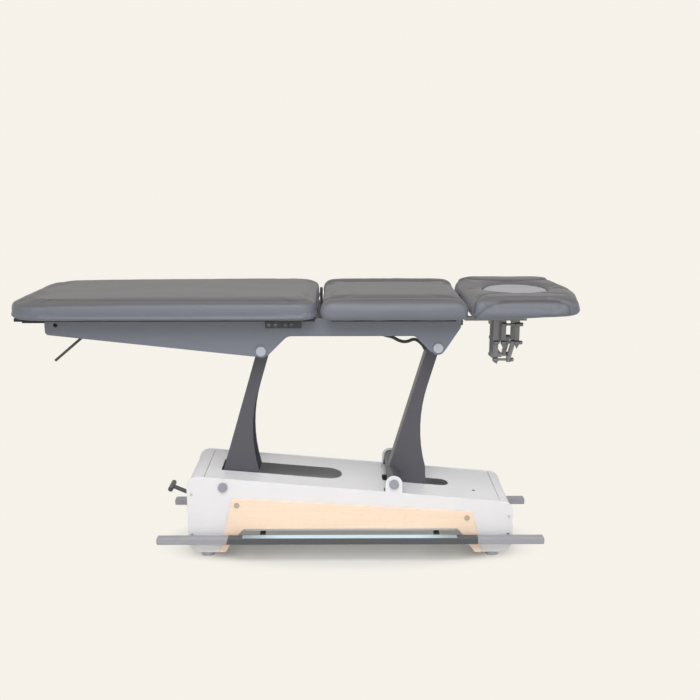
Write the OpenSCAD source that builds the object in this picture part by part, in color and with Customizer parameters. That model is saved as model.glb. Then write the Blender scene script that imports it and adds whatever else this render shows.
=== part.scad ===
// Chiropractic table with a parallel-arm electric lift, a folding leg section and a swinging head section.
// X runs from the foot end to the head end, Y from the near side to the far side, Z up from the floor.

/* [Table top] */
// Width over the cushions
table_w = 580; // [540:5:640]
// Length of the leg cushion
leg_l = 1104; // [1050:2:1150]
// Length of the middle cushion
mid_l = 522; // [500:2:560]
// Length of the head cushion
head_l = 425; // [410:1:450]
// Gap between the leg and middle cushions
leg_gap = 13; // [12:0.5:16]
// Gap between the middle and head cushions
head_gap = 8; // [7:0.5:12]
// Height of the deck that carries the cushions
deck_z = 957; // [950:1:970]
// Thickness of the cushions at their edge
cushion_h = 66; // [60:1:72]
// Rise of the crown over the edge
crown_h = 8; // [4:1:12]
// Width of a side bolster of the middle cushion
bolster_w = 84; // [70:1:95]
// Rise of a bolster over the middle cushion
bolster_rise = 2; // [0:0.5:6]
// Thickness of the boards under the cushions
board_t = 12; // [10:1:14]
// Length of the face plug
plug_l = 251; // [220:1:270]
// Width of the face plug
plug_w = 240; // [210:1:260]

/* [Lift] */
// Pivot to pivot length of a lift arm
arm_l = 551.5; // [545:0.5:560]
// Lean of the arms towards the head end, in degrees
arm_lean = 16.45; // [15:0.05:18]
// Distance between the foot and head pivots
pivot_span = 649; // [640:1:660]
// Rise from the foot pivot to the head pivot
pivot_rise = 11; // [6:1:16]
// Place of the lower foot pivot along the table
foot_pivot_x = -296; // [-305:1:-285]
// Height of the lower foot pivot
foot_pivot_z = 294; // [288:1:300]
// Diameter of the pivot shafts
shaft_d = 20; // [18:1:22]
// Diameter of the shaft caps
cap_d = 36; // [32:1:40]
// Outer diameter of the bushes
bush_d = 32; // [28:1:34]
// Width of the foot arm
foot_arm_w = 114; // [104:1:118]
// Width of the head arm
head_arm_w = 70; // [62:1:72]
// Radius of the hub at each end of an arm
hub_r = 24; // [20:1:25]
// Wall of the arms
arm_wall = 6; // [4:0.5:8]
// Radius of the arms' front flare
flare_r = 600; // [560:5:680]
// Distance from the head pivot to the actuator eye
lever_r = 100; // [96:1:104]

/* [Base] */
// Width over the side plates
base_w = 330; // [320:1:345]
// Thickness of the side plates
plate_t = 4; // [3:0.5:5]
// Reach of the base past the foot pivot
base_foot_reach = 138; // [130:1:150]
// Reach of the base past the wood panels at the head end
base_head_reach = 118.1; // [108:0.1:126]
// Height of the base's bottom edge, which is also the height of the foot pads
base_z0 = 28; // [24:1:32]
// Height of the base's top corner at the foot end
base_foot_z = 340.6; // [338:0.2:345]
// Height of the base's top corner at the head end
base_head_z = 231.8; // [228:0.2:236]
// Radius of the base's top corners
base_corner_r = 43; // [36:1:48]
// Radius of the base's bottom corner at the foot end
base_low_r = 50; // [40:1:54]
// Radius of the base's bottom corner at the head end
base_low_head_r = 45; // [38:1:50]
// Step from the edge of a side plate down to the cover
cover_step = 4; // [3:0.5:5]
// Thickness of the covers
cover_t = 2; // [1.5:0.5:3]
// Radius of the ear on each side plate
ear_r = 32; // [28:1:34]
// Diameter of a foot pad
pad_d = 53; // [46:1:56]
// Thickness of the wood panels
wood_t = 10; // [8:0.5:11]
// Length of a wood panel
wood_l = 1005; // [990:1:1020]
// Height of a wood panel
wood_h = 215; // [205:1:218]
// Height of the chassis rails
rail_h = 40; // [35:1:42]
// Width of the chassis rails
rail_w = 30; // [25:1:32]
// Height of the chassis rails' underside
rail_z = 120; // [118:1:124]

/* [Foot bars] */
// Length of a foot bar
bar_l = 1474; // [1440:2:1500]
// Width of a foot bar
bar_w = 31.5; // [28:0.5:34]
// Height of a foot bar
bar_h = 27.5; // [25:0.5:30]
// Gap between a wood panel and its foot bar
bar_gap = 5.5; // [5:0.5:8]
// Height of a foot bar's underside
bar_z = 79; // [76:1:82]
// Length of the sleeve at the foot end of a bar
sleeve_foot_l = 272; // [250:1:290]
// Length of the sleeve at the head end of a bar
sleeve_head_l = 253; // [230:1:270]
// Length of a light strip
light_l = 816; // [780:2:840]
// Rim of a foot bar beside its light strip
light_rim = 1.5; // [1:0.25:5]

/* [Pedal and wheels] */
// Length of the pedal's cross bar
pedal_w = 84; // [70:1:100]
// Diameter of the pedal's cross bar
pedal_d = 20; // [17:1:24]
// Diameter of a transport wheel
wheel_d = 60; // [50:1:64]
// Width of a transport wheel
wheel_w = 24; // [20:1:26]
// Height of a wheel over the floor at rest
wheel_lift = 4; // [3:0.5:6]

/* [Upper frame] */
// Width over the frame plates
frame_w = 330; // [320:1:345]
// Thickness of the frame plates
frame_t = 4; // [3:0.5:5]
// Reach of the frame past the upper foot pivot
frame_foot_reach = 785; // [770:1:800]
// Reach of the frame past the upper head pivot
frame_head_reach = 82; // [76:1:84]
// Side of a crossbar's square section
crossbar_h = 30; // [26:1:34]
// Diameter of the cable conduit
conduit_d = 15; // [12:1:16]

/* [Hidden] */
$fn = 48;

// Clearances and overruns
fit = 0.05;
seat_gap = 0.3;
over = 10;
hairline = 0.01;
arc_steps = 8;

// Colours of the finishes
dark_metal = [0.26, 0.27, 0.29];
frame_grey = [0.46, 0.47, 0.50];
arm_grey = [0.37, 0.37, 0.40];
plate_white = [0.91, 0.90, 0.91];
cover_grey = [0.85, 0.84, 0.86];
beech = [0.98, 0.88, 0.76];
sleeve_grey = [0.63, 0.63, 0.66];
bar_grey = [0.34, 0.36, 0.38];
vinyl = [0.50, 0.50, 0.52];
rubber_black = [0.12, 0.12, 0.13];
bright_steel = [0.72, 0.72, 0.75];
strip_blue = [0.78, 0.88, 0.92];
board_black = [0.14, 0.14, 0.15];

// Places of the four lift pivots, as [x, z]
ll = [foot_pivot_x, foot_pivot_z];
lr = ll + [pivot_span, pivot_rise];
arm_rise = arm_l * [sin(arm_lean), cos(arm_lean)];
ul = ll + arm_rise;
ur = lr + arm_rise;

// Table top places
table_l = leg_l + leg_gap + mid_l + head_gap + head_l;
leg_x0 = -table_l / 2;
leg_x1 = leg_x0 + leg_l;
mid_x0 = leg_x1 + leg_gap;
mid_x1 = mid_x0 + mid_l;
head_x0 = mid_x1 + head_gap;
head_x1 = head_x0 + head_l;
half_w = table_w / 2;
board_z = deck_z - board_t;
cushion_z = deck_z + seat_gap;

// Base places
base_x0 = ll.x - base_foot_reach;
wood_reach = 17.6;
wood_x0 = ll.x - wood_reach;
wood_x1 = wood_x0 + wood_l;
wood_lift = 4.7;
wood_z = base_z0 + wood_lift;
base_x1 = wood_x1 + base_head_reach;
base_l = base_x1 - base_x0;
half_base = base_w / 2;
inner_y = half_base - plate_t;
base_slope = atan((base_foot_z - base_head_z) / base_l);

// Height of the top line of the base plates at a place along it
function top_line(x) = base_foot_z - (x - base_x0) * tan(base_slope);

// Direction of the line between two points
function unit(v) = v / norm(v);

// Turns a flat vector by an angle
function turn(v, a) = [v.x * cos(a) - v.y * sin(a), v.x * sin(a) + v.y * cos(a)];

// Points of an arc that rounds the corner v between its neighbours p and q
function corner_arc(p, v, q, r) =
    r <= 0 ? [v] :
    let(
        u = unit(p - v),
        w = unit(q - v),
        half = acos(u * w) / 2,
        c = v + unit(u + w) * (r / sin(half)),
        s = v + u * (r / tan(half)) - c,
        e = v + w * (r / tan(half)) - c,
        a = atan2(s.y, s.x),
        sweep = (atan2(e.y, e.x) - a + 540) % 360 - 180)
    [for (i = [0 : arc_steps]) c + r * [cos(a + sweep * i / arc_steps), sin(a + sweep * i / arc_steps)]];

// Outline with each corner [x, y, radius] rounded
function rounded(pts) = [
    for (i = [0 : len(pts) - 1])
        let(n = len(pts), p = pts[(i + n - 1) % n], v = pts[i], q = pts[(i + 1) % n])
        each corner_arc([p.x, p.y], [v.x, v.y], [q.x, q.y], is_undef(v.z) ? 0 : v.z)];

// A flat side view, drawn in x and z, made solid from y0 to y1
module slab(y0, y1) {
    translate([0, y1, 0]) rotate([90, 0, 0]) linear_extrude(y1 - y0) children();
}

// A round bar along Y from y0 to y1, at a place [x, z]
module pin_y(p, d, y0, y1) {
    translate([p.x, y0, p.y]) rotate([-90, 0, 0]) cylinder(d = d, h = y1 - y0);
}

// A round bar along X from x0 to x1, at a place [y, z]
module pin_x(p, d, x0, x1) {
    translate([x0, p.x, p.y]) rotate([0, 90, 0]) cylinder(d = d, h = x1 - x0);
}

// A round bar with chamfered ends, standing along Z
module chamfered(d, h, c) {
    rotate_extrude() polygon([[0, 0], [d / 2 - c, 0], [d / 2, c], [d / 2, h - c], [d / 2 - c, h], [0, h]]);
}

// A block between two corners
module block(a, b) {
    translate(a) cube(b - a);
}

// The same shape on the near and the far side
module both_sides() {
    children();
    mirror([0, 1, 0]) children();
}

module far_side() {
    mirror([0, 1, 0]) children();
}

// Base outline, drawn in by a step
function base_outline(e) = rounded([
    [base_x0 + e, base_z0 + e, base_low_r - e],
    [base_x0 + e, top_line(base_x0 + e) - e / cos(base_slope), base_corner_r - e],
    [base_x1 - e, top_line(base_x1 - e) - e / cos(base_slope), base_corner_r - e],
    [base_x1 - e, base_z0 + e, base_low_head_r - e]]);

// Arch between the two legs of a side plate, as shares of the base length and of the wood panel's height
arch_share = 0.392;
arch_z = wood_z + arch_share * wood_h;
arch_foot_share = [0.107, 0.15];
arch_head_share = [0.888, 0.845];
function arch_outline() = [
    [base_x0 + arch_foot_share.x * base_l, base_z0 - over],
    [base_x0 + arch_foot_share.y * base_l, arch_z],
    [base_x0 + arch_head_share.y * base_l, arch_z],
    [base_x0 + arch_head_share.x * base_l, base_z0 - over]];

// Side plates: an ear stands up round the head pivot
module side_plate() {
    color(plate_white) difference() {
        union() {
            slab(-half_base, -inner_y) difference() {
                polygon(base_outline(0));
                polygon(arch_outline());
            }
            pin_y(lr, 2 * ear_r, -half_base, -inner_y);
            block([lr.x - ear_r, -half_base, lr.y - 2 * ear_r], [lr.x + ear_r, -inner_y, lr.y]);
        }
        for (p = [ll, lr]) pin_y(p, shaft_d, -half_base - over, -inner_y + over);
        for (p = screw_places) pin_y(p, screw_d, -half_base - over, -inner_y + over);
    }
}

module side_plate_near() { side_plate(); }

module side_plate_far() { far_side() side_plate(); }

// Case screws near the base's corners, in shares of the base, and under the corners of the wood panel's arch,
// in shares of a screw head
screw_d = 6;
screw_head_d = 10;
screw_head_t = 1.5;
screw_shares = [[0.014, 0.756], [0.012, 0.234], [0.9875, 0.467], [0.987, 0.237]];
wood_shares = [[0, 0], [0.0215, 0], [0.041, 0.148], [0.071, 0.336], [0.093, 0.443],
    [0.905, 0.446], [0.928, 0.3265], [0.951, 0.136], [0.979, -0.008], [1, -0.01],
    [0.99, 0.15], [0.9855, 0.3265], [0.958, 0.749], [0.0515, 1], [0.0165, 0.322]];
arch_screw_shares = [[0.26, -0.55], [-0.24, -0.59]];
screw_places = concat(
    [for (s = screw_shares) [base_x0 + s.x * base_l, base_z0 + s.y * (base_foot_z - base_z0)]],
    [for (i = [0, 1]) wood_place(wood_shares[4 + i]) + screw_head_d * arch_screw_shares[i]]);

module case_screws() {
    color(bright_steel) both_sides() for (p = screw_places) {
        pin_y(p, screw_d, -half_base, -inner_y);
        pin_y(p, screw_head_d, -half_base - screw_head_t, -half_base);
    }
}

// Covers: one bent sheet, cut at two seams
seam_inset = [66, 49.5];
seam_foot_x = base_x0 + seam_inset[0];
seam_head_x = base_x1 - seam_inset[1];
seam_w = 1.6;
seam_notch = [5, 6];
cover_skirt = 14;
ear_slits = [[4, 50], [3, 14]];
foot_slot_l = 468.5;
foot_slot_reach = 18;
foot_slot_gap = 5;
head_slot_l = 262;
head_slot_reach = 39;
head_slot_gap = 2;
cable_hole_d = 14;
cable_hole_step = [317, -64];
cable_hole = [lr.x + cable_hole_step.x, cable_hole_step.y];

module cover_shell(x0, x1) {
    slab(-inner_y, inner_y) intersection() {
        difference() {
            polygon(base_outline(cover_step));
            polygon(base_outline(cover_step + cover_t));
            translate([base_x0 + base_low_r, 0])
                square([base_l - base_low_r - base_low_head_r, base_z0 + base_low_r]);
        }
        translate([x0, base_z0 + cover_skirt]) square([x1 - x0, base_foot_z]);
    }
}

module foot_slot() {
    w = foot_arm_w + 2 * foot_slot_gap;
    x0 = ll.x - foot_slot_reach;
    translate([0, 0, base_head_z - over]) linear_extrude(base_foot_z)
        polygon(rounded([[x0, -w / 2], [x0 + foot_slot_l, -w / 2, w * 0.45],
            [x0 + foot_slot_l, w / 2, w * 0.45], [x0, w / 2]]));
}

module head_slot() {
    w = head_arm_w + 2 * head_slot_gap;
    x0 = lr.x - head_slot_reach;
    translate([0, 0, base_head_z - over]) linear_extrude(base_foot_z)
        polygon(rounded([[x0, -w / 2, w * 0.2], [x0 + head_slot_l, -w / 2, w * 0.45],
            [x0 + head_slot_l, w / 2, w * 0.45], [x0, w / 2, w * 0.2]]));
}

// Cuts in the cover beside each ear, where the inner upright passes, and the slits at both ends of them
module ear_cuts() {
    x0 = lr.x - ear_r - seat_gap;
    x1 = lr.x + ear_r + seat_gap;
    cuts = [[x0, x1, upright_t + seat_gap], [x0 - ear_slits[0].x, x0, ear_slits[0].y],
        [x1, x1 + ear_slits[1].x, ear_slits[1].y]];
    both_sides() for (c = cuts)
        block([c[0], -inner_y - over, base_head_z], [c[1], -inner_y + c[2], 2 * base_foot_z]);
}

// Notches where the cover's seams meet the side plates
module seam_notches() {
    both_sides() for (x = [seam_foot_x, seam_head_x])
        block([x - seam_notch.x / 2, -inner_y - over, base_head_z - over],
            [x + seam_notch.x / 2, -inner_y + seam_notch.y, base_foot_z + over]);
}

module top_cover() {
    color(cover_grey) difference() {
        cover_shell(seam_foot_x + seam_w / 2, seam_head_x - seam_w / 2);
        foot_slot();
        head_slot();
        ear_cuts();
        seam_notches();
        translate([cable_hole.x, cable_hole.y, base_z0]) cylinder(d = cable_hole_d, h = base_foot_z);
    }
}

module foot_end_cover() {
    color(cover_grey) difference() {
        cover_shell(base_x0, seam_foot_x - seam_w / 2);
        seam_notches();
        translate([base_x0 - over, -pedal_slot_w / 2, pedal_pivot.y + pedal_slot_low])
            cube([base_corner_r, pedal_slot_w, pedal_slot_h]);
    }
}

module head_end_cover() {
    color(cover_grey) difference() {
        cover_shell(seam_head_x + seam_w / 2, base_x1);
        seam_notches();
        translate([base_x1 - base_corner_r, inlet_y - inlet_w / 2, inlet_z])
            cube([base_corner_r + over, inlet_w, inlet_h]);
    }
}

// Wood panels, outlined in shares of their length and height
panel_cap_d = 21;
panel_cap_t = 3;
panel_cap_shares = [[0.069, 0.891], [0.941, 0.649]];
function wood_place(s) = [wood_x0 + s.x * wood_l, wood_z + s.y * wood_h];

module wood_panel() {
    color(beech) difference() {
        slab(-half_base - wood_t, -half_base) polygon([for (s = wood_shares) wood_place(s)]);
        for (s = panel_cap_shares)
            pin_y(wood_place(s), screw_d, -half_base - wood_t - over, -half_base + over);
    }
}

module wood_panel_near() { wood_panel(); }

module wood_panel_far() { far_side() wood_panel(); }

module panel_caps() {
    color(sleeve_grey) both_sides() for (s = panel_cap_shares) {
        pin_y(wood_place(s), panel_cap_d, -half_base - wood_t - panel_cap_t, -half_base - wood_t);
        pin_y(wood_place(s), screw_d, -half_base - wood_t, -half_base);
    }
}

// Chassis: rails inside the side plates, legs over the pads, cross members, uprights and lugs
upright_t = 10;
upright_w = 80;
end_gap = 12;
leg_w = 50;
leg_y0 = 86;
pad_inset = [66, 67.5];
pad_y = 113;
pad_x = [base_x0 + pad_inset[0], base_x1 - pad_inset[1]];
cross_h = 30;
cross_w = 30;
pivot_lug_t = 8;
actuator_step = [214, -144];
actuator_rear = ll + actuator_step;
rocker_reach = 50;
rocker_rise = 47;
rocker_z = base_z0 + rocker_rise;
rocker_x = [pad_x[0] + rocker_reach, pad_x[1] - rocker_reach];
bar_shaft_inset = 48;
bar_shaft_rise = 40;
bar_shaft_y = half_base - bar_shaft_inset;
bar_shaft_z = bar_z + bar_shaft_rise;
bar_shaft_d = 12;
bar_arm_t = 20;
bar_arm_inset = [163.6, 171.4];
bar_arm_x = [wood_x0 + bar_arm_inset[0], wood_x1 - bar_arm_inset[1]];
clevis_w = 36;
clevis_t = 8;
clevis_d = 12;
pedal_shaft_d = 12;
pedal_step = [39, 153];
pedal_pivot = [base_x0, base_z0] + pedal_step;
lug_r = 13;

module chassis() {
    color(dark_metal) difference() {
        union() {
            both_sides() {
                block([base_x0 + end_gap, -inner_y, rail_z],
                    [base_x1 - end_gap, -inner_y + rail_w, rail_z + rail_h]);
                for (x = pad_x) block([x - leg_w / 2, -inner_y, base_z0], [x + leg_w / 2, -leg_y0, rail_z]);
                upright(ll);
                upright(lr);
                for (x = rocker_x) rocker_lug(x);
                for (x = bar_arm_x) for (s = [-1, 1])
                    bar_lug(x + s * (bar_arm_t / 2 + seat_gap + pivot_lug_t / 2));
                slab(-pedal_lug_y - pivot_lug_t, -pedal_lug_y)
                    lug_shape(pedal_pivot, rail_z + cross_h, lug_r);
            }
            for (x = cross_x) block([x - cross_w / 2, -inner_y + rail_w, rail_z],
                [x + cross_w / 2, inner_y - rail_w, rail_z + cross_h]);
            both_sides() slab(-clevis_w / 2 - clevis_t, -clevis_w / 2) union() {
                translate(actuator_rear) circle(r = lug_r);
                translate([actuator_cross_x, rail_z])
                    square([actuator_rear.x - actuator_cross_x, actuator_rear.y + lug_r - rail_z]);
            }
        }
        for (p = [ll, lr]) pin_y(p, shaft_d, -inner_y - over, inner_y + over);
        pin_y(pedal_pivot, pedal_shaft_d, -inner_y, inner_y);
        for (x = rocker_x) pin_y([x, rocker_z], pedal_shaft_d + 2 * fit, -inner_y, inner_y);
        for (x = bar_arm_x) for (s = [-1, 1])
            pin_x([s * bar_shaft_y, bar_shaft_z], bar_shaft_d + 2 * fit,
                x - 2 * bar_arm_t, x + 2 * bar_arm_t);
    }
    color(dark_metal) pin_y(actuator_rear, clevis_d, -clevis_w / 2 - clevis_t, clevis_w / 2 + clevis_t);
    color(dark_metal)
        pin_y(pedal_pivot, pedal_shaft_d, -pedal_lug_y - pivot_lug_t, pedal_lug_y + pivot_lug_t);
}

clevis_reach = 48;
actuator_cross_x = actuator_rear.x - clevis_reach;
cross_step = bar_arm_t / 2 + pivot_lug_t + cross_w / 2;
cross_x = [pedal_pivot.x + cross_w / 2, rocker_x[0], bar_arm_x[0] + cross_step,
    bar_arm_x[1] + cross_step, rocker_x[1]];

// A lug hanging from a level down to a pivot
module lug_shape(p, z, r) {
    translate(p) circle(r = r);
    translate([p.x - r, min(p.y, z)]) square([2 * r, abs(z - p.y)]);
}

module upright(p) {
    slab(-inner_y, -inner_y + upright_t) union() {
        translate(p) circle(r = hub_r);
        translate([p.x - upright_w / 2, rail_z + rail_h - hairline])
            square([upright_w, hairline + hub_r / 2]);
        polygon([[p.x - upright_w / 2, rail_z + rail_h], [p.x + upright_w / 2, rail_z + rail_h],
            [p.x + hub_r, p.y], [p.x - hub_r, p.y]]);
    }
}

rocker_lug_y = 98;
module rocker_lug(x) {
    slab(-rocker_lug_y - pivot_lug_t, -rocker_lug_y) lug_shape([x, rocker_z], rail_z + cross_h, lug_r);
}

module bar_lug(x) {
    translate([x - pivot_lug_t / 2, 0, 0]) rotate([90, 0, 90]) linear_extrude(pivot_lug_t) union() {
        translate([-bar_shaft_y, bar_shaft_z]) circle(r = lug_r);
        translate([-inner_y + rail_w - over, rail_z]) square([over + lug_r, rail_h / 2]);
        translate([-bar_shaft_y - lug_r, bar_shaft_z]) square([2 * lug_r, rail_h / 2]);
    }
}

module foot_pads() {
    color(rubber_black) for (x = pad_x) for (s = [-1, 1]) translate([x, s * pad_y, 0])
        cylinder(d = pad_d, h = base_z0);
}

module lower_shafts() {
    color(bright_steel) for (p = [ll, lr]) pin_y(p, shaft_d, -half_base, half_base);
}

cap_t = 8;
module lower_shaft_caps() {
    color(sleeve_grey) both_sides() for (p = [ll, lr]) pin_y(p, cap_d, -half_base - cap_t, -half_base);
}

box_size = [110, 150, 48];
module control_box() {
    color(board_black)
        translate([rocker_x[1] - box_size.x, -box_size.y / 2, rail_z + cross_h]) cube(box_size);
}

inlet_y = -60;
inlet_rise = 42;
inlet_z = base_z0 + inlet_rise;
inlet_w = 48;
inlet_h = 28;
inlet_l = 30;
module mains_inlet() {
    color(board_black) difference() {
        block([base_x1 - cover_step - inlet_l, inlet_y - inlet_w / 2, inlet_z],
            [base_x1, inlet_y + inlet_w / 2, inlet_z + inlet_h]);
        block([base_x1 - inlet_l / 2, inlet_y - inlet_w / 3, inlet_z + inlet_h / 5],
            [base_x1 + over, inlet_y + inlet_w / 3, inlet_z + inlet_h * 4 / 5]);
    }
}

// Foot bars: a dark core, a sleeve on each end stub, and rocker arms on a shaft along X
bar_reach = 235.4;
bar_x0 = wood_x0 - bar_reach;
bar_x1 = bar_x0 + bar_l;
bar_y = half_base + wood_t + bar_gap;
core_x0 = bar_x0 + sleeve_foot_l;
core_x1 = bar_x1 - sleeve_head_l;
stub_w = 20;
stub_h = 16;
bar_edge_r = 4;
bar_end_r = 8.5;
bar_plan_r = 6;
seam_skew = 8;
light_inset = 326;
light_x0 = bar_x0 + light_inset;
light_w = bar_w - 2 * light_rim;
light_t = 3;
bar_arm_h = 18;

module bar_section(w, h, r) {
    polygon(rounded([[-w / 2, -h / 2, r], [w / 2, -h / 2, r], [w / 2, h / 2, r], [-w / 2, h / 2, r]]));
}

module bar_run(x0, x1, w, h, r) {
    translate([x0, -bar_y - bar_w / 2, bar_z + bar_h / 2]) rotate([90, 0, 90])
        linear_extrude(x1 - x0) bar_section(w, h, r);
}

module foot_bar() {
    color(bar_grey) difference() {
        union() {
            difference() {
                bar_run(core_x0 - seam_skew, core_x1, bar_w, bar_h, bar_edge_r);
                core_seam_cut();
            }
            bar_run(bar_x0 + bar_w, bar_x1 - bar_w, stub_w, stub_h, bar_edge_r / 2);
            for (x = bar_arm_x) rocker_arm(x);
        }
        block([light_x0, -bar_y - (bar_w + light_w) / 2, bar_z + bar_h - light_t],
            [light_x0 + light_l, -bar_y - (bar_w - light_w) / 2, bar_z + bar_h + over]);
    }
    color(dark_metal) for (x = bar_arm_x)
        pin_x([-bar_shaft_y, bar_shaft_z], bar_shaft_d, x - bar_arm_t / 2 - pivot_lug_t - seat_gap,
            x + bar_arm_t / 2 + pivot_lug_t + seat_gap);
}

// The core's foot end leans like the wood panel's edge
module core_seam_cut() {
    slab(-bar_y - bar_w - over, -bar_y + over) polygon([
        [core_x0 - seam_skew - over, bar_z - over], [core_x0 - seam_skew, bar_z - over],
        [core_x0 - seam_skew, bar_z], [core_x0, bar_z + bar_h], [core_x0, bar_z + bar_h + over],
        [core_x0 - seam_skew - over, bar_z + bar_h + over]]);
}

module rocker_arm(x) {
    translate([x - bar_arm_t / 2, 0, 0]) rotate([90, 0, 90]) linear_extrude(bar_arm_t) difference() {
        union() {
            translate([-bar_shaft_y, bar_shaft_z]) circle(r = lug_r);
            polygon([[-bar_y - bar_w / 2, bar_z + bar_h / 2 - bar_arm_h / 2],
                [-bar_shaft_y - lug_r, bar_z + bar_h / 2 - bar_arm_h / 2],
                [-bar_shaft_y + lug_r, bar_shaft_z], [-bar_shaft_y - lug_r, bar_shaft_z],
                [-bar_shaft_y - 2 * lug_r, bar_z + bar_h / 2 + bar_arm_h / 2],
                [-bar_y - bar_w / 2, bar_z + bar_h / 2 + bar_arm_h / 2]]);
        }
        translate([-bar_shaft_y, bar_shaft_z]) circle(d = bar_shaft_d);
    }
}

// Outline of a whole bar with its four corners rounded, u along it and v across it
function bar_outline(v0, v1, r) =
    rounded([[bar_x0, v0, r], [bar_x1, v0, r], [bar_x1, v1, r], [bar_x0, v1, r]]);

// Sleeves: the bar's form with rounded ends, less the core's length
module bar_sleeves() {
    color(sleeve_grey) difference() {
        intersection() {
            bar_run(bar_x0, bar_x1, bar_w, bar_h, bar_edge_r);
            slab(-bar_y - bar_w, -bar_y + bar_w) polygon(bar_outline(bar_z, bar_z + bar_h, bar_end_r));
            linear_extrude(bar_z + 2 * bar_h)
                polygon(bar_outline(-bar_y - bar_w, -bar_y, bar_plan_r));
        }
        bar_run(bar_x0 + bar_w, bar_x1 - bar_w, stub_w, stub_h, bar_edge_r / 2);
        slab(-bar_y - bar_w - over, -bar_y + bar_w + over) polygon([
            [core_x0 - seam_skew, bar_z - over], [core_x0 - seam_skew, bar_z], [core_x0, bar_z + bar_h],
            [core_x0, bar_z + bar_h + over], [core_x1, bar_z + bar_h + over], [core_x1, bar_z - over]]);
    }
}

module light_strip() {
    color(strip_blue) block([light_x0, -bar_y - (bar_w + light_w) / 2, bar_z + bar_h - light_t],
        [light_x0 + light_l, -bar_y - (bar_w - light_w) / 2, bar_z + bar_h]);
}

module foot_bar_near() { foot_bar(); }

module foot_bar_far() { far_side() foot_bar(); }

module bar_sleeves_near() { bar_sleeves(); }

module bar_sleeves_far() { far_side() bar_sleeves(); }

module light_strip_near() { light_strip(); }

module light_strip_far() { far_side() light_strip(); }

// Pedal: a cross bar on a stem that enters the foot end cover
pedal_lean = 23.9;
pedal_reach = 136.8;
pedal_chamfer = 3;
stem_d = 16;
pedal_hub_w = 30;
pedal_lug_y = 18;
pedal_slot_w = 20;
pedal_slot_low = -12;
pedal_slot_h = 44;

module pedal() {
    end = pedal_pivot + pedal_reach * [-cos(pedal_lean), sin(pedal_lean)];
    color(dark_metal) difference() {
        union() {
            translate([pedal_pivot.x, 0, pedal_pivot.y]) rotate([0, -90 + pedal_lean, 0])
                cylinder(d = stem_d, h = pedal_reach);
            translate([end.x, -pedal_w / 2, end.y]) rotate([-90, 0, 0])
                chamfered(pedal_d, pedal_w, pedal_chamfer);
            pin_y(pedal_pivot, 2 * pedal_shaft_d, -pedal_hub_w / 2, pedal_hub_w / 2);
        }
        pin_y(pedal_pivot, pedal_shaft_d + 2 * fit, -pedal_w, pedal_w);
    }
}

// Transport wheels on rockers at both ends of the base
axle_z = wheel_d / 2 + wheel_lift;
axle_d = 10;
wheel_y = 62;
rocker_t = 8;

module wheel_rocker(i) {
    color(dark_metal) {
        both_sides() slab(-wheel_y + wheel_w / 2 + seat_gap, -wheel_y + wheel_w / 2 + seat_gap + rocker_t)
            hull() {
                translate([pad_x[i], axle_z]) circle(r = axle_d, $fn = 32);
                translate([rocker_x[i], rocker_z]) circle(r = axle_d, $fn = 32);
            }
        pin_y([pad_x[i], axle_z], axle_d,
            -wheel_y - wheel_w / 2 - seat_gap, wheel_y + wheel_w / 2 + seat_gap);
        pin_y([rocker_x[i], rocker_z], pedal_shaft_d,
            -rocker_lug_y - pivot_lug_t, rocker_lug_y + pivot_lug_t);
    }
}

module wheel_rocker_foot() { wheel_rocker(0); }

module wheel_rocker_head() { wheel_rocker(1); }

module wheel_pair(i) {
    color(rubber_black) both_sides() difference() {
        pin_y([pad_x[i], axle_z], wheel_d, -wheel_y - wheel_w / 2, -wheel_y + wheel_w / 2);
        pin_y([pad_x[i], axle_z], axle_d + 2 * fit, -inner_y, 0);
    }
}

module wheels_foot() { wheel_pair(0); }

module wheels_head() { wheel_pair(1); }

// Lift arms: channels that open at their front, with a hub tube at the lower pivot
arm_back = 18.5;
arm_front = 26.5;
flare_v = 375;
foot_v = 58;
bush_l = 20;
eye_d = 28;
eye_w = 20;
foot_edge_shares = [[0.25, -0.4], [0.8, 0], [1, 0.5]];
head_edge_shares = [[0.4, -0.5], [0.65, -0.8], [1.17, -0.7], [1.19, -0.17]];

function flare_u(v) = arm_front + flare_r - sqrt(flare_r * flare_r - (flare_v - v) * (flare_v - v));

// Outline of an arm in its own frame, u across it and v along it: its back is drawn in by a wall,
// and its front and foot are let out by an overrun
function arm_outline(edge_shares, wall, out) = concat(
    [[-arm_back + wall, arm_l], [-arm_back + wall, 0], [0, -hub_r - out]],
    [for (s = edge_shares) [s.x * flare_u(foot_v) + out, s.y * foot_v - out]],
    [for (i = [0 : arc_steps]) let(v = foot_v + (flare_v - foot_v) * i / arc_steps) [flare_u(v) + out, v]],
    [[arm_front + out, arm_l]]);

module arm(low, w, edge_shares) {
    high = low + arm_rise;
    tube = inner_y - upright_t - seat_gap;
    color(arm_grey) difference() {
        union() {
            difference() {
                slab(-w / 2, w / 2) translate(low) rotate(-arm_lean) union() {
                    polygon(arm_outline(edge_shares, 0, 0));
                    translate([0, arm_l]) circle(r = hub_r);
                }
                slab(-w / 2 + arm_wall, w / 2 - arm_wall) translate(low) rotate(-arm_lean)
                    intersection() {
                        polygon(arm_outline(edge_shares, arm_wall, over));
                        translate([-hub_r, -arm_l]) square([arm_l, 2 * arm_l - hub_r - arm_wall]);
                    }
            }
            pin_y(low, 2 * hub_r, -tube, tube);
        }
        pin_y(low, bush_d, -inner_y, inner_y);
        pin_y(high, bush_d, -inner_y, inner_y);
    }
}

module foot_arm() { arm(ll, foot_arm_w, foot_edge_shares); }

module head_arm() {
    arm(lr, head_arm_w, head_edge_shares);
    color(dark_metal) translate([conduit_end.x, 0, conduit_end.y]) rotate([0, 90 + gland_lean, 0])
        difference() {
            cylinder(d = gland_d, h = gland_l);
            translate([0, 0, -over]) cylinder(d = conduit_d / 2, h = gland_l + 2 * over);
        }
}

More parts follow.
